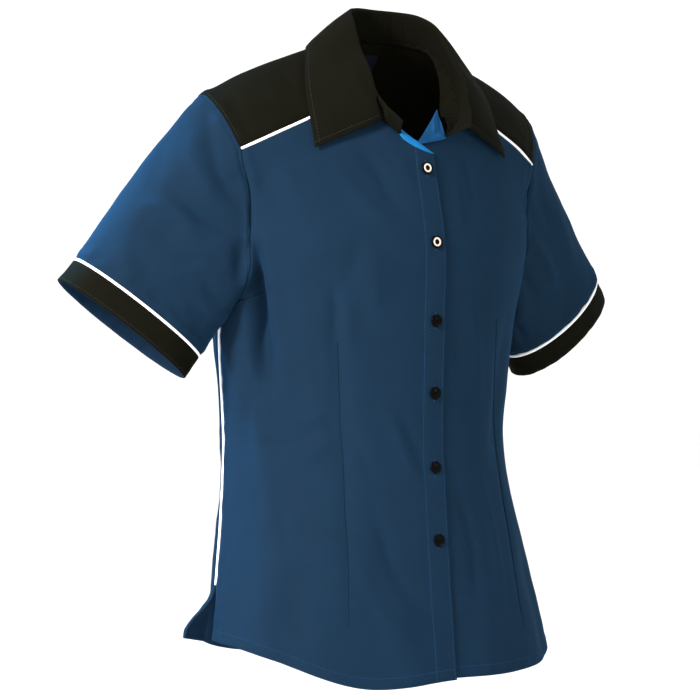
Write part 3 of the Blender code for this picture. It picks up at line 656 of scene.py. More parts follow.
def label_points():
    """A flat label on the inner side of the yoke, below the neckline."""
    middle = space_walk(YOKE_MIDDLE)(np.linspace(0, 1, FINE))
    z = np.linspace(*LABEL_Z, LABEL_ROWS)
    y = np.interp(z, middle[:, 2], middle[:, 1]) - CLOTH - LABEL_ROOM
    x = np.linspace(LABEL_HALF, -LABEL_HALF, LABEL_COLUMNS)[:, None]
    return np.stack(np.broadcast_arrays(x, y[None] - LABEL_BOW * x ** 2, z[None]), -1)


# Camera

TURN = math.radians(35.0)   # the camera looks from this far to the wearer's right,
DISTANCE = 2.5              # at this distance in metres,
LEVEL = -0.297              # at this height,
ASIDE = -0.0258             # and moved this far to its own right
FOCAL_PIXELS = 2425.0       # focal length, in pixels of the photograph
FRAME_PIXELS = 700.0
MIDDLE_PIXEL = 350.0
SENSOR = 36.0               # width of the camera's sensor, mm
TOWARDS = np.array((-math.sin(TURN), -math.cos(TURN), 0.0))
RIGHT = np.array((math.cos(TURN), -math.sin(TURN), 0.0))


def add_camera():
    data = bpy.data.cameras.new("camera")
    data.sensor_width = SENSOR
    data.lens = FOCAL_PIXELS / FRAME_PIXELS * SENSOR
    data.clip_end = 50.0
    camera = add_object("camera", data)
    camera.location = TOWARDS * DISTANCE + RIGHT * ASIDE + (0.0, 0.0, LEVEL)
    camera.rotation_euler = (math.radians(90), 0.0, -TURN)
    bpy.context.scene.camera = camera


def pixels(points):
    """Where points fall in the photograph's frame."""
    away = DISTANCE - points @ TOWARDS
    across = (points @ RIGHT - ASIDE) / away
    up = (points[..., 2] - LEVEL) / away
    return np.stack([MIDDLE_PIXEL + FOCAL_PIXELS * across, MIDDLE_PIXEL - FOCAL_PIXELS * up], -1)


# Relief on a grid of points

# Sides that a crease's places may be given from: which way they face, and the axes seen
VIEWS = {
    "back": ((0, 1, 0), (0, 2)),
    "left": ((1, 0, 0), (1, 2)),
    "right": ((-1, 0, 0), (1, 2)),
}
CREASE_POINTS = 24          # points on the line of a crease
CREASE_FADE = (0.92, 0.7)   # how a crease fades to its ends: see faded
LEFT_AT_END = 0.04
BAND_SOFT = 0.0012          # width of the step at a doubled edge
GROOVE_HALF = 0.0008        # half width of the groove at a row of stitches


def ring_normals(grid, closed):
    """Outward normals; a closed grid's first and last rows are the same points."""
    if not closed:
        return normals(grid)
    reach = NORMAL_REACH + 1
    wrapped = np.concatenate([grid[-1 - reach:-1], grid, grid[1:1 + reach]])
    return normals(wrapped)[reach:-reach]


def raised(grid, height, closed=False):
    return grid + ring_normals(grid, closed) * height[..., None]


def seen_at(grid, places, closed, view):
    """Points of the grid that show nearest the given places.

    In the photo a place is a pixel; from the back, left or right it is
    millimetres across (x, or y from a side) and up.
    """
    if view == "photo":
        facing, flat = TOWARDS, pixels(grid)
    else:
        facing, axes = VIEWS[view]
        flat = grid[..., axes] * 1000
    away = ring_normals(grid, closed) @ np.array(facing, float)
    hidden = np.where(away > 0.05, 0.0, 1.0e6)
    found = []
    for place in places:
        miss = np.sum((flat - np.array(place)) ** 2, axis=-1) + hidden
        found.append(grid[np.unravel_index(np.argmin(miss), miss.shape)])
    return np.array(found)


def along_line(grid, line):
    """Distance of each point from a line of points, and its place along it, 0 to 1."""
    points = grid.reshape(-1, 3)
    steps = lengths(line)
    nearest = np.full(len(points), 1.0e9)
    share = np.zeros(len(points))
    for start, end, before, after in zip(line, line[1:], steps, steps[1:]):
        run = end - start
        t = np.clip((points - start) @ run / max(run @ run, 1e-12), 0.0, 1.0)
        gap = np.sum((points - start - t[:, None] * run) ** 2, axis=1)
        closer = gap < nearest
        nearest[closer] = gap[closer]
        share[closer] = ((before + t * (after - before)) / steps[-1])[closer]
    return np.sqrt(nearest).reshape(grid.shape[:-1]), share.reshape(grid.shape[:-1])


def faded(share, middle, power):
    """1 along most of a line, less towards its ends; share runs from 0 to 1 along it."""
    return np.sin(np.pi * np.clip(share * middle + LEFT_AT_END, 0.0, 1.0)) ** power


def smooth_line(points):
    """The same line with more points, if it has more than two."""
    if len(points) < 3:
        return points
    knots = lengths(points)
    return through(knots, points, np.linspace(0, knots[-1], CREASE_POINTS))


def creases(grid, table, closed=False):
    """Height of soft ridges (+) and troughs (-), in metres.

    The table has rows for each view: half width in mm, height in mm, and places.
    """
    height = np.zeros(grid.shape[:-1])
    for view, rows in table.items():
        for width, rise, *places in rows:
            gap, share = along_line(grid, smooth_line(seen_at(grid, places, closed, view)))
            height += rise * 0.001 * hump(gap, 0.0, width * 0.001) * faded(share, *CREASE_FADE)
    return height


def noisy(places, shape):
    """Smooth noise at these places, in the shape of a grid."""
    return np.array([noise.noise(Vector(place)) for place in places]).reshape(shape)


def ripple(grid, size, height, seed):
    """Slight unevenness of cloth, in metres, from a smooth noise of this size."""
    return height * noisy(grid.reshape(-1, 3) / size + seed, grid.shape[:-1])


def gathers(grid, size, height, seed):
    """Fine wrinkles that run square to a long band of cloth, uneven in size."""
    along = lengths(grid[:, grid.shape[1] // 2])[:, None] / size
    up = edge_distance(grid, "v0") / (6.0 * size)
    return height * noisy([(*at, seed) for at in np.broadcast(along, up)], grid.shape[:-1])


def band(distance, width, height):
    """A doubled edge: raised from the edge to the given width."""
    return height * (1 - smooth_step((distance - width) / BAND_SOFT + 0.5))


def groove(distance, middle, depth):
    """The fine line that a row of stitches draws in the cloth."""
    return -depth * hump(distance, middle, GROOVE_HALF)


def pucker(grid, distance, reach, height, length, seed):
    """Small ripples square to a seam, dying out at the given reach from it."""
    return ripple(grid, length, height, seed) * hump(distance, 0.0, reach)

# Materials: colours are linear, and a look is a material paired with the name of a slot

BLUE = (0.0050, 0.0145, 0.0275)
# painted light: a lighter copy of the shirt's blue, for light from above on the facing rolled out along the
# right lapel
PAINTED_LIGHT_FACING_BLUE = (0.0080, 0.1000, 0.2400)
# painted light: a lighter copy of the shirt's blue, for light from above on the left lapel where it stands
# above its fold
PAINTED_LIGHT_LAPEL_BLUE = (0.0080, 0.0480, 0.1200)
BLACK = (0.0038, 0.0036, 0.0018)
NAVY = (0.0050, 0.0065, 0.0120)
WHITE = (0.8200, 0.8200, 0.8000)
BUTTON_BLACK = (0.0008, 0.0008, 0.0008)
CREAM = (0.5600, 0.4200, 0.3300)
BLUE_SHEEN = (0.0500, 0.4200, 1.0000, 1.0)
GREY_SHEEN = (0.8000, 0.8500, 1.0000, 1.0)
THREAD_BLUE = (0.0160, 0.0560, 0.1300)
THREAD_BLACK = (0.0200, 0.0200, 0.0180)


def set_inputs(node, values):
    for name, value in values.items():
        node.inputs[name].default_value = value


def add_node(tree, kind, inputs, **settings):
    """A shader node with these settings, and these values on its inputs."""
    node = tree.nodes.new(kind)
    for name, value in settings.items():
        setattr(node, name, value)
    set_inputs(node, inputs)
    return node


def add_material(name, inputs):
    """A material, the tree of its nodes, and its shader with these inputs."""
    made = bpy.data.materials.new(name)
    made.use_nodes = True
    shader = made.node_tree.nodes["Principled BSDF"]
    set_inputs(shader, inputs)
    return made, made.node_tree, shader


def add_tone(tree, colour, spread):
    """A mix from a darker to a lighter tone of a colour."""
    ends = {}
    for end, share in (("A", 1 - spread), ("B", 1 + spread)):
        ends[end] = (*(value * share for value in colour), 1.0)
    return add_node(tree, "ShaderNodeMix", ends, data_type="RGBA")


def join(tree, *pairs):
    for output, target in pairs:
        tree.links.new(output, target)


def fabric(name, slot, colour, sheen, sheen_tint, pitch=0.0009, patchy=0.16):
    """Look of twill: fine slanting lines, cross threads, and slightly patchy dye."""
    made, tree, shader = add_material(name, {
        "Roughness": 0.85, "Specular IOR Level": 0.02,
        "Sheen Weight": sheen, "Sheen Roughness": 0.45, "Sheen Tint": sheen_tint})
    place = add_node(tree, "ShaderNodeTexCoord", {}).outputs["Object"]

    cloud = add_node(tree, "ShaderNodeTexNoise", {"Scale": 26.0, "Detail": 4.0})
    fleck = add_node(tree, "ShaderNodeTexNoise", {"Scale": 1300.0, "Detail": 2.0})
    half = add_node(tree, "ShaderNodeMath", {1: 0.55}, operation="MULTIPLY")
    blend = add_node(tree, "ShaderNodeMath", {1: 0.45}, operation="MULTIPLY_ADD")
    tone = add_tone(tree, colour, patchy)
    join(tree, (place, cloud.inputs["Vector"]), (place, fleck.inputs["Vector"]),
         (cloud.outputs["Fac"], half.inputs[0]), (fleck.outputs["Fac"], blend.inputs[0]),
         (half.outputs[0], blend.inputs[2]), (blend.outputs[0], tone.inputs["Factor"]),
         (tone.outputs["Result"], shader.inputs["Base Color"]))

    lines = math.pi / (10.0 * pitch)
    twill = add_node(tree, "ShaderNodeTexWave", {"Scale": lines, "Distortion": 1.2, "Detail": 1.0},
                     bands_direction="DIAGONAL")
    cross = add_node(tree, "ShaderNodeTexWave", {"Scale": lines / 0.6, "Distortion": 0.8},
                     bands_direction="Z")
    weave = add_node(tree, "ShaderNodeMath", {1: 0.5}, operation="MULTIPLY_ADD")
    bump = add_node(tree, "ShaderNodeBump", {"Strength": 0.5, "Distance": 0.00016})
    join(tree, (place, twill.inputs["Vector"]), (place, cross.inputs["Vector"]),
         (cross.outputs["Fac"], weave.inputs[0]), (twill.outputs["Fac"], weave.inputs[2]),
         (weave.outputs[0], bump.inputs["Height"]), (bump.outputs["Normal"], shader.inputs["Normal"]))
    return made, slot


def moulded(name, colour, roughness=0.18):
    """Look of a glossy button, with faint swirls in its colour and its gloss."""
    made, tree, shader = add_material(name, {
        "Specular IOR Level": 0.02, "Coat Weight": 0.025, "Coat Roughness": 0.08})
    place = add_node(tree, "ShaderNodeTexCoord", {}).outputs["Object"]
    swirl = add_node(tree, "ShaderNodeTexNoise", {"Scale": 420.0, "Distortion": 1.5})
    tone = add_tone(tree, colour, 0.2)
    rough = add_node(tree, "ShaderNodeMapRange", {"To Min": roughness * 0.7, "To Max": roughness * 1.4})
    join(tree, (place, swirl.inputs["Vector"]),
         (swirl.outputs["Fac"], tone.inputs["Factor"]), (swirl.outputs["Fac"], rough.inputs["Value"]),
         (tone.outputs["Result"], shader.inputs["Base Color"]),
         (rough.outputs["Result"], shader.inputs["Roughness"]))
    return made, "black_button"


# Meshes

EDGE_ROUND = 0.35           # how far a wall's edge bulges, as a share of its thickness
CAP_PLACES = (0.0, 0.30, 0.60, 0.85)    # rings at a cord's end, as shares of its rounding
CAP_LEAST = 0.02            # and its tip's radius, as a share of the cord's
STEEP = 0.9                 # a cord that rises more than this is turned about y, not z
AROUND = 12                 # corners round a cord


def add_object(name, data):
    made = bpy.data.objects.new(name, data)
    bpy.context.scene.collection.objects.link(made)
    return made


def add_piece(name, vertices, faces, look):
    """A smooth mesh; its look is a material and a slot name, which is not used."""
    material, slot = look
    mesh = bpy.data.meshes.new(name)
    mesh.from_pydata(vertices, [], faces)
    mesh.materials.append(material)
    mesh.shade_smooth()
    mesh.update()
    piece = add_object(name, mesh)
    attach(piece, "root")
    return piece


def rim(columns, rows, closed):
    """Index rings round the open edges of a grid, each in the faces' own turn."""
    low = [(column, 0) for column in range(columns)]
    high = [(column, rows - 1) for column in reversed(range(columns))]
    if closed:
        return [low, high]
    right = [(columns - 1, row) for row in range(1, rows - 1)]
    left = [(0, row) for row in reversed(range(1, rows - 1))]
    return [low + right + high + left]


def wall(name, grid, look, thickness=CLOTH, closed=False):
    """A closed thin wall with a rounded edge; the grid is its outer side."""
    inner = grid - ring_normals(grid, closed) * thickness
    if closed:
        grid, inner = grid[:-1], inner[:-1]
    columns, rows = grid.shape[:2]
    count = columns * rows
    index = np.arange(count).reshape(columns, rows)
    here = index if closed else index[:-1]
    after = np.roll(index, -1, axis=0) if closed else index[1:]
    outer = np.stack([here[:, :-1], after[:, :-1], after[:, 1:], here[:, 1:]], -1).reshape(-1, 4)
    faces = [*outer.tolist(), *(outer[:, ::-1] + count).tolist()]
    vertices = [*grid.reshape(-1, 3), *inner.reshape(-1, 3)]
    for ring in rim(columns, rows, closed):
        first = len(vertices)
        for column, row in ring:
            beside = np.clip((column, row), 1, (columns - 2, rows - 2))
            if closed:
                beside[0] = column
            out = grid[column, row] - grid[tuple(beside)]
            out = out / max(np.linalg.norm(out), 1e-9)
            middle = 0.5 * (grid[column, row] + inner[column, row])
            vertices.append(middle + out * thickness * EDGE_ROUND)
        for place, corner in enumerate(ring):
            ahead = (place + 1) % len(ring)
            a, b = index[corner], index[ring[ahead]]
            faces.append((b, a, first + place, first + ahead))
            faces.append((first + ahead, first + place, a + count, b + count))
    return add_piece(name, vertices, faces, look)


def dress(node, grid, look, thickness=CLOTH, closed=False):
    """The cloth that stands in for one of the solids' nodes."""
    piece = wall(f"{node}_cloth", grid, look, thickness, closed)
    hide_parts(node)
    return piece


def rounded_ends(line, run, radius):
    """Add points past both ends of a line, where a cord narrows to a rounded end."""
    back = (1 - np.array(CAP_PLACES))[:, None]
    begin = line[0] - run[0] * radius * back * 0.5
    finish = line[-1] + run[-1] * radius * back[::-1] * 0.5
    caps = np.maximum(radius * np.sqrt(1 - back[:, 0] ** 2), radius * CAP_LEAST)
    count = len(caps)
    radii = np.concatenate([caps, np.full(len(line), radius), caps[::-1]])
    run = np.concatenate([np.tile(run[:1], (count, 1)), run, np.tile(run[-1:], (count, 1))])
    return np.concatenate([begin, line, finish]), run, radii


def tube(name, line, radius, look, closed=False):
    """A round cord along a line, with rounded ends."""
    if closed:
        run = unit(np.roll(line, -1, axis=0) - np.roll(line, 1, axis=0))
        radii = np.full(len(line), radius)
    else:
        line, run, radii = rounded_ends(line, unit(np.gradient(line, axis=0)), radius)
    steep = np.any(np.abs(run[:, 2]) > STEEP)
    side = unit(np.cross(run, (0.0, 1.0, 0.0) if steep else (0.0, 0.0, 1.0)))
    up = np.cross(side, run)
    turn = np.linspace(0, 2 * math.pi, AROUND, endpoint=False)[None, :, None]
    spokes = side[:, None] * np.cos(turn) + up[:, None] * np.sin(turn)
    rings = line[:, None] + radii[:, None, None] * spokes
    count = len(line)
    faces = []
    for place in range(count if closed else count - 1):
        after = (place + 1) % count
        for step in range(AROUND):
            ahead = (step + 1) % AROUND
            faces.append((place * AROUND + step, place * AROUND + ahead,
                          after * AROUND + ahead, after * AROUND + step))
    if not closed:
        faces.append(tuple(reversed(range(AROUND))))
        faces.append(tuple(range((count - 1) * AROUND, count * AROUND)))
    return add_piece(name, list(rings.reshape(-1, 3)), faces, look)


def inset(grid, edge, distance, closed=False):
    """A line on the cloth this far from one of its edges, and the normals there."""
    lines = rows_from(grid, edge)
    facing = rows_from(ring_normals(grid, closed), edge)
    far = depths(lines).T
    return tuple(
        np.array([read_along(distance, *pair) for pair in zip(far, values.transpose(1, 0, 2))])
        for values in (lines, facing))


STITCH = 0.0026             # length of a stitch
STITCH_GAP = 0.0007
THREAD = 0.00028            # half its width
THREAD_RISE = 1.3           # a stitch's height, as a share of its half width


def stitching(name, runs, look, long=STITCH, gap=STITCH_GAP, thread=THREAD):
    """Rows of stitches; each run is a line of points with the cloth's normals."""
    vertices, faces = [], []
    for line, facing in runs:
        distance = lengths(line)
        middles = (np.arange(int(distance[-1] / (long + gap))) + 0.5) * (long + gap)
        start = read_along(middles - 0.5 * long, distance, line)
        end = read_along(middles + 0.5 * long, distance, line)
        up = unit(read_along(middles, distance, facing)) * thread
        side = np.cross(up, unit(end - start))
        centre = 0.5 * (start + end)
        corners = (start, end, centre + side, centre + up * THREAD_RISE, centre - side, centre - up)
        for stitch in np.stack(corners, 1):
            base = len(vertices)
            vertices.extend(stitch)
            for step in range(4):
                a, b = base + 2 + step, base + 2 + (step + 1) % 4
                faces.append((base, b, a))
                faces.append((base + 1, a, b))
    return add_piece(name, vertices, faces, look)


# What each piece of cloth does, seen in the photograph

FRONT_RIGHT_CREASES = {"photo": (
    (8, -2.6, (362, 148), (378, 172), (392, 198), (404, 212)),
    (9, 2.0, (338, 160), (352, 182), (372, 208), (392, 226)),
    (8, 1.0, (396, 150), (412, 186), (424, 214)),
    (8, -1.2, (262, 162), (268, 182), (276, 206)),
    (7, 1.0, (284, 160), (292, 180), (300, 204)),
    (8, -18.0, (253, 240), (254, 262), (255, 286), (256, 312), (258, 340)),
    (12, -15.0, (254, 285), (256, 315), (260, 348), (264, 386)),
    (11, 3.5, (258, 228), (266, 262), (272, 300), (280, 346), (286, 390)),
    (10, -2.0, (246, 320), (254, 352), (262, 386)),
    (9, -1.6, (362, 238), (354, 262), (346, 290)),
    (8, 1.4, (372, 250), (376, 290), (378, 330)),
    (6, -3.4, (334, 288), (335, 310), (337, 340)),
    (7, 1.6, (347, 300), (349, 330), (349, 362)),
    (6, 1.4, (322, 330), (326, 358), (330, 386)),
    (7, -1.7, (250, 447), (272, 446), (298, 441), (324, 428)),
    (5, 1.3, (276, 464), (304, 458), (330, 446), (346, 444)),
    (5, 1.0, (290, 424), (310, 420), (328, 412)),
    (5, -1.2, (322, 412), (330, 426), (336, 440)),
    (7, 2.0, (384, 404), (396, 432), (406, 456), (420, 486)),
    (6, -1.8, (402, 418), (414, 444), (424, 466), (430, 482)),
    (6, -1.2, (352, 438), (364, 456), (372, 480)),
    (8, -2.4, (372, 500), (384, 540), (396, 572), (412, 598), (428, 612)),
    (8, 1.6, (360, 556), (372, 590), (390, 622), (412, 640)),
    (2.5, 0.9, (252, 564), (276, 562), (300, 561), (326, 562)),
    (5, -1.2, (312, 570), (326, 571), (340, 573)),
    (7, 1.4, (262, 470), (268, 500), (270, 530)),
    (6, -1.3, (280, 500), (284, 530), (286, 556)),
    (9, -1.6, (290, 590), (300, 620), (306, 650)),
    (9, 1.5, (250, 600), (262, 624), (270, 648)),
)}
FRONT_LEFT_CREASES = {"photo": (
    (6, -1.5, (452, 322), (457, 346), (460, 372)),
    (7, -1.4, (466, 160), (472, 182), (476, 206)),
    (7, 1.2, (452, 170), (458, 200), (462, 232)),
    (8, -3.2, (454, 480), (464, 512), (472, 548), (478, 600)),
    (9, 2.4, (478, 470), (490, 520), (498, 570), (504, 620)),
    (8, 1.5, (470, 300), (478, 350), (480, 400)),
    (6, -1.2, (468, 390), (474, 430), (476, 470)),
)}
SLEEVE_RIGHT_CREASES = {"photo": (
    (7, -3.6, (172, 190), (188, 204), (204, 217), (222, 226), (240, 230)),
    (10, 3.0, (192, 128), (196, 160), (208, 190), (232, 212)),
    (8, 2.4, (150, 204), (168, 208), (184, 218), (196, 236)),
    (7, -2.6, (208, 112), (212, 145), (220, 176), (236, 202)),
    (7, -1.6, (146, 228), (160, 232), (176, 234)),
    (7, 1.3, (140, 244), (166, 250), (196, 250), (226, 246)),
    (6, 1.5, (170, 268), (190, 270), (212, 266)),
    (6, -1.8, (204, 280), (212, 292), (226, 302), (238, 306)),
    (9, -5.0, (243, 240), (242, 262), (240, 286)),
    (6, 2.0, (196, 296), (210, 310), (226, 318)),
    (9, 1.6, (128, 236), (126, 262), (134, 284)),
    (9, -1.4, (170, 120), (160, 160), (150, 196)),
)}
SLEEVE_LEFT_CREASES = {"photo": (
    (8, 3.2, (520, 252), (532, 246), (544, 258), (554, 286)),
    (6, -3.8, (519, 262), (526, 280), (538, 298)),
    (7, 2.0, (512, 290), (520, 306), (524, 318)),
    (5, -3.5, (513, 322), (520, 334), (526, 344)),
    (10, -1.6, (536, 170), (544, 206), (552, 236)),
    (10, 1.4, (556, 200), (566, 236), (574, 264)),
)}
BACK_CREASES = {
    "back": (
        (10, -2.4, (-120, -140), (-96, -200), (-84, -270)),
        (10, 2.0, (96, -130), (90, -190), (84, -260)),
        (9, -2.0, (60, -330), (20, -352), (-30, -362)),
        (9, 2.2, (90, -352), (40, -376), (-20, -388), (-70, -382)),
        (8, -1.8, (-100, -360), (-60, -372), (-10, -380)),
        (14, -3.2, (52, -430), (58, -500), (70, -590)),
        (14, 3.0, (-40, -430), (-52, -510), (-62, -600)),
        (12, -2.4, (0, -440), (-4, -520), (2, -600)),
    ),
    "left": (
        (8, -2.4, (50, -290), (60, -340), (64, -400)),
        (9, 2.0, (80, -470), (84, -530), (90, -600)),
    ),
    "right": (
        (8, -2.2, (52, -284), (60, -330), (70, -390)),
    ),
}
YOKE_CREASES = {
    "photo": (
        (6, -1.0, (228, 92), (240, 112), (246, 132)),
        (7, 1.0, (262, 70), (274, 92), (280, 112)),
        (4, 1.0, (284, 60), (296, 64), (302, 74)),
        (4, -1.0, (276, 66), (286, 76), (294, 92)),
    ),
    "back": (
        (12, 1.6, (-120, -70), (-60, -60), (0, -62)),
        (12, -1.4, (120, -56), (60, -40), (10, -44)),
    ),
}
LAPEL_CREASES = {"photo": (
    (1.6, -2.2, (437.5, 112), (438.5, 120), (440, 132)),
    (1.8, 1.2, (433, 120), (433, 128), (433, 134)),
)}
LEAF_CREASES = {
    "photo": (
        (4, -1.5, (318, 47), (332, 46), (348, 50)),
        (4, 1.3, (314, 40), (330, 38), (347, 40)),
        (12, 2.0, (322, 80), (340, 74), (360, 84)),
        (10, -1.6, (318, 110), (340, 112), (366, 122)),
        (5, 1.0, (352, 60), (360, 84), (372, 106)),
    ),
    "back": (
        (6, -1.0, (-60, 20), (-20, 26), (20, 26), (60, 20)),
    ),
}

# The dressed pieces

HEM_WIDTH = 0.0105
PLACKET_WIDTH = 0.025
# Darts: height and x, from the point down
DART_RIGHT = ((-0.290, 0.1020), (-0.361, 0.0971), (-0.390, 0.0954), (-0.458, 0.0977), (-0.566, 0.1041))
DART_LEFT = ((-0.266, 0.0885), (-0.345, 0.0960), (-0.430, 0.1057), (-0.522, 0.1116), (-0.580, 0.1166))
DART_POINTS = 40
DART_FADE = (0.94, 0.5)
DART_HOLLOWS = ((0.0007, 0.0025), (0.0010, 0.0080))     # depth and half width of its two hollows
DART_SEAM = 0.0006          # radius of the fine line of its seam
DOUBLED_RISE = 0.0005       # how far doubled cloth stands out at a hem or the placket
SEAM_SWELL = (0.0008, 0.006, 0.004)     # fullness beside a seam: height, middle, half width
SEAM_DIP = 0.0025           # half width of the dip at a seam
STAND_WRINKLES = (0.35, 0.90, 0.10)     # share at the back, more at the ends, over this reach
STAND_CALM = (0.2, 0.008)   # share left at the stand's edges, and over what reach it grows
LEAF_FILL = 0.0004          # how much fuller the leaf is inside its stitches
CALM_START = 0.001
FRONT_RIPPLE = (0.0016, 11.0)           # height and seed of the cloth's unevenness
BACK_RIPPLE = (0.0018, 21.0)
PLANE_POINTS = 12
CALM_REACH = 0.010          # creases flatten out this close to a seam
LIFT = 0.0004               # how far a piece lies off the one below it
FACING_WIDTH = 0.0074       # of the facing that rolls out along the right lapel
FACING_ROLL = 0.0014
FACING_STAND = 0.0065       # and stands up past the edge by this much where it starts
FACING_SHAPE = (1.75, 0.55, 0.85)       # its width: scale, and how bluntly it starts and ends
FACING_STEPS = 12
LAPEL_STEPS = 40
LAPEL_START = -0.0100       # x from where the left lapel stands above its fold line
LAPEL_LAP = 0.0018          # how far the left lapel's facing comes down over the cloth
LAPEL_LIFT = 0.0014
LAPEL_ROLL = 0.0014         # height of the roll beside its fold line,
LAPEL_ROLL_PLACE = (0.12, 0.10)         # and the roll's middle and half width, as shares of it
FOLD_STEPS = 12
FOLD_RISE = 0.55            # height of the collar's top fold, as a share of its half width
FOLD_END = 0.85             # place along the neckline where the leaf leaves the fold
LINING_SINK = BAND_CLOTH + 0.0006       # of the blue lining inside each sleeve band
ARMHOLE_SEAM = 0.0022       # radius of the seam rolled in along the armhole
ARMHOLE_SINK = 0.0030
LINING_BACK = 0.0026        # how far the stand's lining reaches in at the back and the front
LINING_FRONT = 0.0190
LINING_DROP = 0.45          # and down, as a share of that
LINING_BAG = (0.35, 0.40, 0.16)         # places where it starts to bag, grows and falls
LINING_STEPS = 16
EDGE_STITCH = 0.0022        # from an edge to the row of stitches beside it
COLLAR_STITCH = 0.0050


def dart_line(side):
    """Where a front's dart runs: x and height, from its point down."""
    table = np.array(DART_LEFT if side > 0 else DART_RIGHT)[::-1]
    heights = np.linspace(table[-1, 0], table[0, 0], DART_POINTS)
    return side * through(table[:, 0], table[:, 1], heights), heights


def dart(grid, side):
    """The soft hollow that a front's dart draws in the cloth."""
    across, heights = dart_line(side)
    gap, share = along_line(grid, torso(angle_at_x(across, heights), heights))
    return -faded(share, *DART_FADE) * sum(depth * hump(gap, 0.0, half) for depth, half in DART_HOLLOWS)


def on_front(grid, across, heights):
    """Points of a front at these x and heights, on planes through the nearest of its points."""
    flat = grid.reshape(-1, 3)
    found = []
    for x, z in zip(across, heights):
        near = flat[np.argsort((flat[:, 0] - x) ** 2 + (flat[:, 2] - z) ** 2)[:PLANE_POINTS]]
        level = np.stack([near[:, 0], near[:, 2], np.ones(PLANE_POINTS)], -1)
        plane = np.linalg.lstsq(level, near[:, 1], rcond=None)[0]
        found.append((x, plane @ (x, z, 1.0), z))
    return np.array(found)


def calm(grid, *edges):
    """Share of a crease's height that is left beside these seams."""
    return smooth_step((edge_distance(grid, *edges) + CALM_START) / CALM_REACH)


def hem_relief(grid, seed=3.0):
    """A doubled hem along the lower edge, with the groove of its stitches."""
    distance = edge_distance(grid, "v0")
    height = band(distance, HEM_WIDTH, DOUBLED_RISE) + groove(distance, HEM_WIDTH, depth=0.00035)
    return height + pucker(grid, distance, reach=0.02, height=0.0010, length=0.014, seed=seed)


def seam_relief(grid, edge, seed, depth=0.0004):
    """Cloth beside a seam: drawn down at it, full next to it, slightly puckered."""
    distance = edge_distance(grid, edge)
    rise, *place = SEAM_SWELL
    swell = rise * hump(distance, *place) - depth * hump(distance, 0.0, SEAM_DIP)
    return swell + pucker(grid, distance, reach=0.022, height=0.0012, length=0.012, seed=seed)


def body_ripple(grid, rise, seed):
    """Wide and fine unevenness of the body's cloth."""
    return ripple(grid, 0.060, rise, seed) + ripple(grid, 0.022, 0.00035, seed + 6.0)


def front_relief(grid, side, table):
    seam = "u1" if side > 0 else "u0"
    height = creases(grid, table) * calm(grid, seam) + dart(grid, side) + hem_relief(grid)
    return height + seam_relief(grid, seam, 5.0) + body_ripple(grid, *FRONT_RIPPLE)


def placket_relief(grid, edge):
    """The doubled placket along a front's edge."""
    distance = edge_distance(grid, edge)
    height = band(distance, PLACKET_WIDTH, DOUBLED_RISE) + groove(distance, PLACKET_WIDTH, depth=0.0003)
    return height + pucker(grid, distance, reach=0.018, height=0.0007, length=0.020, seed=7.0)


def rolled_facing(right):
    """The right front's facing, where it rolls out along the lapel: a pointed strip."""
    lapel = right[-LAPEL_COLUMNS - 1:]
    outward = normals(lapel)[:, ::-1]
    far = edge_distance(lapel, "v1")[:, ::-1]
    lapel = lapel[:, ::-1]
    share = np.linspace(0.01, 0.99, len(lapel))
    scale, start, end = FACING_SHAPE
    width = scale * FACING_WIDTH * share ** start * (1 - share) ** end
    across = np.linspace(1, 0, FACING_STEPS + 1)
    rise = LIFT + FACING_ROLL * np.sin(np.pi * across) ** 0.8 * (width / FACING_WIDTH)[:, None]
    on_cloth, facing = (
        np.array([read_along(across * wide, *pair) for wide, *pair in zip(width, far, values)])
        for values in (lapel, outward))
    beyond = unit(lapel[:, 0] - lapel[:, 1])[:, None] * (FACING_STAND * (1 - share) ** 1.5)[:, None, None]
    return on_cloth + facing * rise[..., None] + beyond * ((1 - across) ** 2)[None, :, None]


def open_facing():
    """The left front's lapel above the line of its fold, where its facing shows."""
    corner, apex, start = LAPEL_LEFT
    across = np.linspace(LAPEL_START, corner[0], LAPEL_STEPS + 2)[1:-1]
    foot = np.interp(across, *zip(LAPEL_FOOT, corner))
    top = np.interp(across, *zip(start, apex, corner))
    up = np.linspace(0, 1, LAPEL_STEPS)[None]
    foot = foot[:, None] - LAPEL_LAP
    z = foot + (top[:, None] - foot) * up
    grid = lap(torso(angle_at_x(across[:, None], z), z), -LAP_RISE)
    height = body_ripple(grid, *FRONT_RIPPLE) + LAPEL_LIFT + creases(grid, LAPEL_CREASES)
    return raised(grid, height + LAPEL_ROLL * hump(up, *LAPEL_ROLL_PLACE))


def make_fronts(blue, painted_light_facing, lapel, thread):
    left = front_points((LAPEL_LEFT[0], LAPEL_FOOT), HEM_LEFT, -LAP_RISE)
    left = raised(left, front_relief(left, 1.0, FRONT_LEFT_CREASES))
    piece = dress("front_left", left, blue)
    # the left lapel's facing takes the lighter copy of the blue: painted light from above
    facing = wall("front_left_facing", open_facing(), lapel)
    stitches = stitching("front_left_stitching", [inset(left, "v0", HEM_WIDTH)], thread)
    seam = tube("front_left_dart", on_front(left, *dart_line(1.0)), DART_SEAM, blue)

    right = mirrored(front_points(LAPEL_RIGHT, HEM_RIGHT, LAP_RISE))[::-1]
    relief = front_relief(right, -1.0, FRONT_RIGHT_CREASES) + placket_relief(right, "u1")
    right = raised(right, relief)
    piece = dress("front_right", right, blue)
    # the rolled facing takes the lighter copy of the blue: painted light from above
    facing = wall("front_right_facing", rolled_facing(right), painted_light_facing, CLOTH / 2)
    rows = (("v0", HEM_WIDTH), ("u1", PLACKET_WIDTH), ("u1", EDGE_STITCH))
    runs = [inset(right, edge, distance) for edge, distance in rows]
    stitches = stitching("front_right_stitching", runs, thread)
    seam = tube("front_right_dart", on_front(right, *dart_line(-1.0)), DART_SEAM, blue)
    return right


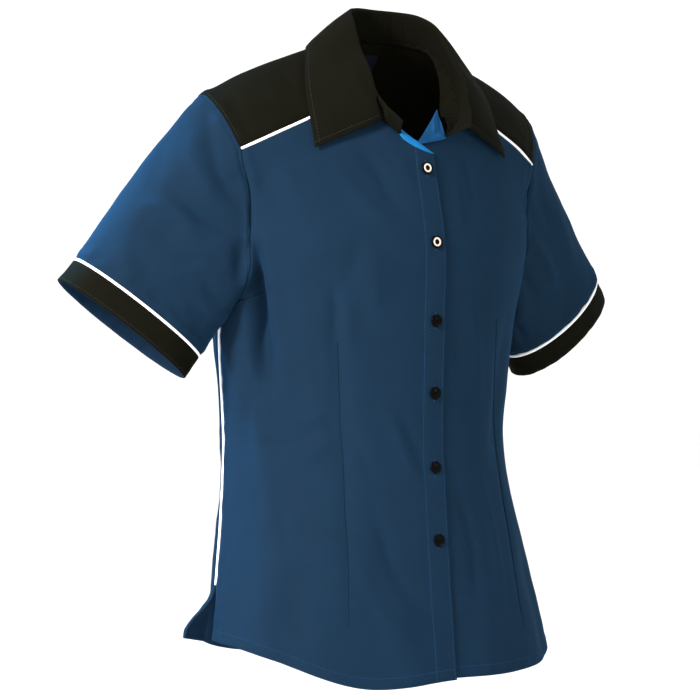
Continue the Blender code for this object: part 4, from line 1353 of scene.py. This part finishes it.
def make_back(blue, thread):
    back = back_points()
    height = creases(back, BACK_CREASES) * calm(back, "u0", "u1") + hem_relief(back, seed=4.0)
    height += seam_relief(back, "u0", 6.0) + seam_relief(back, "u1", 8.0)
    back = raised(back, height + body_ripple(back, *BACK_RIPPLE))
    piece = dress("back", back, blue)
    runs = [inset(back, "v0", HEM_WIDTH), inset(back, "v1", EDGE_STITCH)]
    stitches = stitching("back_stitching", runs, thread)


def make_yoke(black, thread):
    yoke = yoke_points()
    height = creases(yoke, YOKE_CREASES) + ripple(yoke, 0.040, 0.0008, 35.0)
    for edge, seed in (("u0", 31.0), ("u1", 32.0), ("v0", 33.0)):
        height += seam_relief(yoke, edge, seed, depth=0.0002)
    yoke = raised(yoke, height)
    piece = dress("yoke", yoke, black)
    stitches = stitching("yoke_stitching", [inset(yoke, "v0", EDGE_STITCH)], thread)


def collar_fold(stand, leaf):
    """The rounded fold at the collar's top, from the leaf over to the stand's inner side."""
    across = np.linspace(-1, 1, len(leaf))
    reach = LEAF_FRONT[-1][0]
    at = 0.5 * (1 + reach * across) * (len(stand) - 1)
    inner = read_along(at, np.arange(len(stand)), stand[:, -1] - normals(stand)[:, -1] * CLOTH)
    folded = np.abs(across) * reach < FOLD_END
    outer, inner = leaf[folded, -1], inner[folded]
    aside = 0.5 * (outer - inner)
    up = unit(np.cross(np.gradient(outer, axis=0), aside))
    up *= np.sign(up[:, 2:]) * np.linalg.norm(aside, axis=1)[:, None] * FOLD_RISE
    turn = np.linspace(0, math.pi, FOLD_STEPS + 1)[None, :, None]
    return 0.5 * (outer + inner)[:, None] + aside[:, None] * np.cos(turn) + up[:, None] * np.sin(turn)


def collar_lining(stand):
    """The stand's inner side, which bags inwards below the neckline near its front ends."""
    share = np.abs(np.linspace(-1, 1, len(stand)))
    start, grow, fall = LINING_BAG
    bag = smooth_step((share - start) / grow) * smooth_step((1.0 - share) / fall)
    wide = (LINING_BACK + (LINING_FRONT - LINING_BACK) * bag)[:, None]
    outward = normals(stand)[:, 0]
    inward = -outward * wide - (0.0, 0.0, LINING_DROP) * wide
    out = np.linspace(1.0, 0.0, LINING_STEPS)[None, :, None]
    grid = (stand[:, 0] - outward * (0.5 * CLOTH))[:, None] + inward[:, None] * out
    return raised(grid, gathers(grid, 0.0036, 0.0030, 49.0) + gathers(grid, 0.0100, 0.0020, 50.0))


def make_collar(black, thread):
    stand = stand_points()
    height = gathers(stand, 0.0042, 0.0016, 41.0) + gathers(stand, 0.0090, 0.0018, 43.0)
    behind, ahead, reach = STAND_WRINKLES
    height *= behind + ahead * hump(edge_distance(stand, "u0", "u1"), 0.0, reach)
    edges = edge_distance(stand, "u0", "u1", "v0", "v1")
    least, reach = STAND_CALM
    stand = raised(stand, height * (least + (1 - least) * smooth_step(edges / reach)))

    leaf = leaf_points()
    distance = edge_distance(leaf, "u0", "u1", "v0")
    height = creases(leaf, LEAF_CREASES) + ripple(leaf, 0.035, 0.0011, 45.0) + LIFT
    height += LEAF_FILL * smooth_step(distance / COLLAR_STITCH)
    height += groove(distance, COLLAR_STITCH, depth=0.0002)
    leaf = raised(leaf, height)

    runs = [inset(leaf, edge, COLLAR_STITCH) for edge in ("v0", "u0", "u1")]
    stitches = stitching("collar_stitching", runs, thread)
    fold = wall("collar_fold_cloth", collar_fold(stand, leaf), black, CLOTH / 2)
    seam = wall("collar_seam_cloth", collar_lining(stand), black)
    piece = dress("collar_stand", stand, black)
    piece = dress("collar_leaf", leaf, black)


def make_sleeve(word, side, table, blue):
    sleeve = sleeve_points()
    if side < 0:
        sleeve = mirrored(sleeve)[::-1]
    height = creases(sleeve, table, closed=True) * calm(sleeve, "v1")
    height += seam_relief(sleeve, "v1", 51.0) + seam_relief(sleeve, "v0", 53.0)
    height += ripple(sleeve, 0.045, 0.0016, 55.0 + side) + ripple(sleeve, 0.018, 0.00035, 57.0)
    sleeve = raised(sleeve, height, closed=True)
    piece = dress(f"sleeve_{word}", sleeve, blue, closed=True)
    loop = armhole_loop() * (side, 1.0, 1.0)
    loop += unit(loop.mean(axis=0) - loop) * ARMHOLE_SINK
    seam = tube(f"armhole_{word}_seam", loop, ARMHOLE_SEAM, blue, closed=True)


def make_cuff(word, side, blue, black, thread):
    cuff = band_points()
    if side < 0:
        cuff = mirrored(cuff)[::-1]
    distance = edge_distance(cuff, "v0")
    height = ripple(cuff, 0.030, 0.0009, 61.0) + groove(distance, EDGE_STITCH, depth=0.0003)
    height += pucker(cuff, distance, reach=0.02, height=0.0008, length=0.010, seed=63.0)
    cuff = raised(cuff, height, closed=True)
    piece = dress(f"cuff_{word}", cuff, black, BAND_CLOTH, closed=True)
    runs = [inset(cuff, "v0", EDGE_STITCH, closed=True)]
    stitches = stitching(f"cuff_{word}_stitching", runs, thread)
    inside = raised(cuff, ripple(cuff, 0.010, 0.0006, 65.0) - LINING_SINK, closed=True)
    lining = wall(f"cuff_{word}_lining", inside, blue, CLOTH / 2, closed=True)


def trimmed(points, length):
    """Shorten a line of points at both ends."""
    distance = lengths(points)
    return read_along(distance.clip(length, distance[-1] - length), distance, points)


def make_piping(white):
    seam = front_line(YOKE_SEAM)(np.linspace(0, 1, YOKE_ROWS + 1))
    line = torso(*seam.T)
    ahead = torso(*(seam - (2.0, 0.0)).T) - line
    outward = unit(np.cross(ahead, np.gradient(line, axis=0)))
    outward *= np.sign(-outward[:, 1:2])
    yoke_line = trimmed(line - outward * PIPING_SINK, 2 * SEAM_GAP)

    line = torso(*side_line()(np.linspace(0, 1, SIDE_ROWS + 1)).T)
    above_vent = line[np.searchsorted(line[:, 2], VENT_TOP_Z):]
    side_points = trimmed(above_vent, 8 * SEAM_GAP) - (PIPING_SINK, 0.0, 0.0)

    loop = cuff_loop(sleeve_turns())
    loop = loop - unit(loop - np.array(CUFF_MIDDLE)) * PIPING_SINK
    places = (("yoke", yoke_line, False), ("side", side_points, False), ("sleeve", loop, True))
    for word, turn in (("left", np.asarray), ("right", mirrored)):
        for place, points, closed in places:
            piece = tube(f"piping_{place}_{word}_cord", turn(points), PIPING, white, closed)
            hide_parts(f"piping_{place}_{word}")


# Buttons: half outlines as shares of a button's radius and height. The lower four
# are plain domes; the top two have a pale ring sunk round a domed middle.

DOME_PROFILE = (
    (0.00, 1.12), (0.14, 1.11), (0.28, 1.08), (0.42, 1.02), (0.54, 0.94), (0.62, 0.86), (0.68, 0.84),
    (0.76, 0.90), (0.84, 0.93), (0.91, 0.88), (0.97, 0.76), (1.00, 0.58), (0.98, 0.36), (0.90, 0.12),
    (0.72, 0.00), (0.00, 0.00),
)
SUNK_PROFILE = (
    (0.00, 1.02), (0.12, 1.01), (0.24, 0.96), (0.34, 0.86), (0.42, 0.72), (0.50, 0.68), (0.70, 0.70),
    (0.82, 0.80), (0.88, 0.92), (0.94, 0.88), (0.98, 0.76), (1.00, 0.58), (0.98, 0.36), (0.90, 0.12),
    (0.72, 0.00), (0.00, 0.00),
)
RING_PROFILE = (
    (0.41, 0.74), (0.43, 0.86), (0.47, 0.95), (0.52, 1.00), (0.58, 1.00), (0.64, 0.97), (0.69, 0.90),
    (0.71, 0.80), (0.66, 0.74), (0.58, 0.70), (0.48, 0.70),
)
RINGED = 2                  # how many buttons, from the top, have a ring
TURNED_STEPS = 48
HOLE_STITCHES = (0.0066, 0.0092)        # above and below a button's middle
HOLE_HALF = 0.0006
HOLE_POINTS = 8


def turned(name, profile, place, along, look, closed=False):
    """A profile of (radius, height) shares turned round a button's axis."""
    across = np.array((1.0, 0.0, 0.0))
    outward = unit(np.cross(across, along))
    foot = place + outward * (LAP_RISE + 2 * SEAM_GAP)
    turn = np.linspace(0, 2 * math.pi, TURNED_STEPS, endpoint=False)[:, None]
    around = np.cos(turn) * across + np.sin(turn) * along
    vertices, faces, rings = [], [], []
    for radius, level in profile:
        count = TURNED_STEPS if radius else 1
        rings.append([len(vertices) + step % count for step in range(TURNED_STEPS)])
        centre = foot + outward * level * BUTTON_HEIGHT
        vertices.extend(centre + around[:count] * radius * BUTTON_RADIUS)
    pairs = list(zip(rings, rings[1:]))
    if closed:
        pairs.append((rings[-1], rings[0]))
    for low, high in pairs:
        for step in range(TURNED_STEPS):
            after = (step + 1) % TURNED_STEPS
            corners = (low[step], high[step], high[after], low[after])
            faces.append(tuple(dict.fromkeys(corners)))
    return add_piece(name, vertices, faces, look)


def make_buttons(button, cream, thread, front):
    places = np.array(BUTTON_ZS)
    turn = angle_at_x(BUTTON_X, places)
    skin = torso(turn, places)
    slope = unit(torso(turn, places + 0.005) - torso(turn, places - 0.005))
    runs = []
    for number, (place, along) in enumerate(zip(skin, slope), 1):
        ringed = number <= RINGED
        profile = SUNK_PROFILE if ringed else DOME_PROFILE
        piece = turned(f"button_{number}_turned", profile, place, along, button)
        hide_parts(f"button_{number}")
        if ringed:
            turned(f"button_{number}_ring", RING_PROFILE, place, along, cream, closed=True)
        facing = np.tile(np.cross((1.0, 0.0, 0.0), along), (HOLE_POINTS, 1))
        for end in (-1.0, 1.0):
            heights = place[2] + end * np.linspace(*HOLE_STITCHES, HOLE_POINTS)
            for x in (BUTTON_X - HOLE_HALF, BUTTON_X + HOLE_HALF):
                runs.append((on_front(front, np.full(HOLE_POINTS, x), heights), facing))
    stitching("buttonhole_stitching", runs, thread, long=0.0009, gap=0.0001, thread=0.0005)


def make_label(navy):
    label = label_points()
    label = raised(label, ripple(label, 0.012, 0.0003, 71.0))
    piece = dress("label", label, navy, LABEL_CLOTH)


# Stage

FLOOR_Z = -0.80
FLOOR_HALF = 9.0
FLOOR_COLOUR = (0.93, 0.93, 0.93, 1.0)
WORLD = 1.1                 # strength of the white surroundings
BODY = (0.0, 0.0, -0.30)    # places that the lights face
NEAR_SLEEVE = (-0.34, 0.0, -0.14)
LIGHTS = (
    # name, right of the camera's view, towards the camera, up from the body's middle,
    # what it faces, watts, size, spread in degrees, colour
    ("behind_left", -1.3, -0.3, 1.7, NEAR_SLEEVE, 2.5, 0.2, 14.0, (0.15, 0.60, 1.00)),
    ("front_left", -1.3, 1.7, 0.9, BODY, 125.0, 0.5, 180.0, (0.95, 0.92, 1.00)),
    ("front_right", 1.8, 0.9, 0.6, BODY, 9.0, 0.12, 180.0, (0.80, 1.00, 1.00)),
)


def add_stage():
    pale, _, _ = add_material("pale_floor", {
        "Base Color": FLOOR_COLOUR, "Roughness": 0.9, "Specular IOR Level": 0.1})
    floor = bpy.data.meshes.new("floor")
    corners = [(x * FLOOR_HALF, y * FLOOR_HALF, FLOOR_Z) for x, y in ((-1, -1), (1, -1), (1, 1), (-1, 1))]
    floor.from_pydata(corners, [], [(0, 1, 2, 3)])
    floor.materials.append(pale)
    add_object("floor", floor)


def add_light(name, place, aim, watts, size, spread, colour):
    data = bpy.data.lights.new(name, "AREA")
    data.energy = watts
    data.shape = "SQUARE"
    data.size = size
    data.spread = math.radians(spread)
    data.color = colour
    light = add_object(name, data)
    light.location = place
    light.rotation_euler = (Vector(place) - Vector(aim)).to_track_quat("Z", "Y").to_euler()


def add_lighting():
    world = bpy.data.worlds.new("studio")
    world.use_nodes = True
    set_inputs(world.node_tree.nodes["Background"], {"Color": (1.0, 1.0, 1.0, 1.0), "Strength": WORLD})
    bpy.context.scene.world = world
    for name, right, towards, up, *settings in LIGHTS:
        add_light(name, BODY + RIGHT * right + TOWARDS * towards + (0.0, 0.0, up), *settings)
    bpy.context.scene.view_settings.view_transform = "Standard"


def make_shirt():
    blue = fabric("blue_twill", "blue_cloth", BLUE, 0.06, BLUE_SHEEN)
    # lighter copy of the shirt's blue for the right lapel's facing: painted light from above
    painted_light_facing = fabric("blue_facing_painted_light", "blue_cloth", PAINTED_LIGHT_FACING_BLUE, 0.05, BLUE_SHEEN)
    # lighter copy of the shirt's blue for the left lapel: painted light from above
    lapel = fabric("blue_lapel_painted_light", "blue_cloth", PAINTED_LIGHT_LAPEL_BLUE, 0.05, BLUE_SHEEN)
    black = fabric("black_twill", "black_cloth", BLACK, 0.005, GREY_SHEEN)
    navy = fabric("navy_label", "navy_cloth", NAVY, 0.05, GREY_SHEEN, pitch=0.0005)
    white = fabric("white_piping_cloth", "white_piping", WHITE, 0.10, GREY_SHEEN, pitch=0.0005, patchy=0.04)
    blue_thread = fabric("blue_thread", "blue_cloth", THREAD_BLUE, 0.10, BLUE_SHEEN, pitch=0.0003)
    black_thread = fabric("black_thread", "black_cloth", THREAD_BLACK, 0.10, GREY_SHEEN, pitch=0.0003)
    button = moulded("button_black", BUTTON_BLACK)
    cream = moulded("button_cream", CREAM, roughness=0.3)
    right_front = make_fronts(blue, painted_light_facing, lapel, blue_thread)
    make_back(blue, blue_thread)
    make_yoke(black, black_thread)
    make_collar(black, black_thread)
    for word, side, table in (("left", 1.0, SLEEVE_LEFT_CREASES), ("right", -1.0, SLEEVE_RIGHT_CREASES)):
        make_sleeve(word, side, table, blue)
        make_cuff(word, side, blue, black, black_thread)
    make_piping(white)
    make_buttons(button, cream, blue_thread, right_front)
    make_label(navy)


add_camera()
add_lighting()
add_stage()
make_shirt()
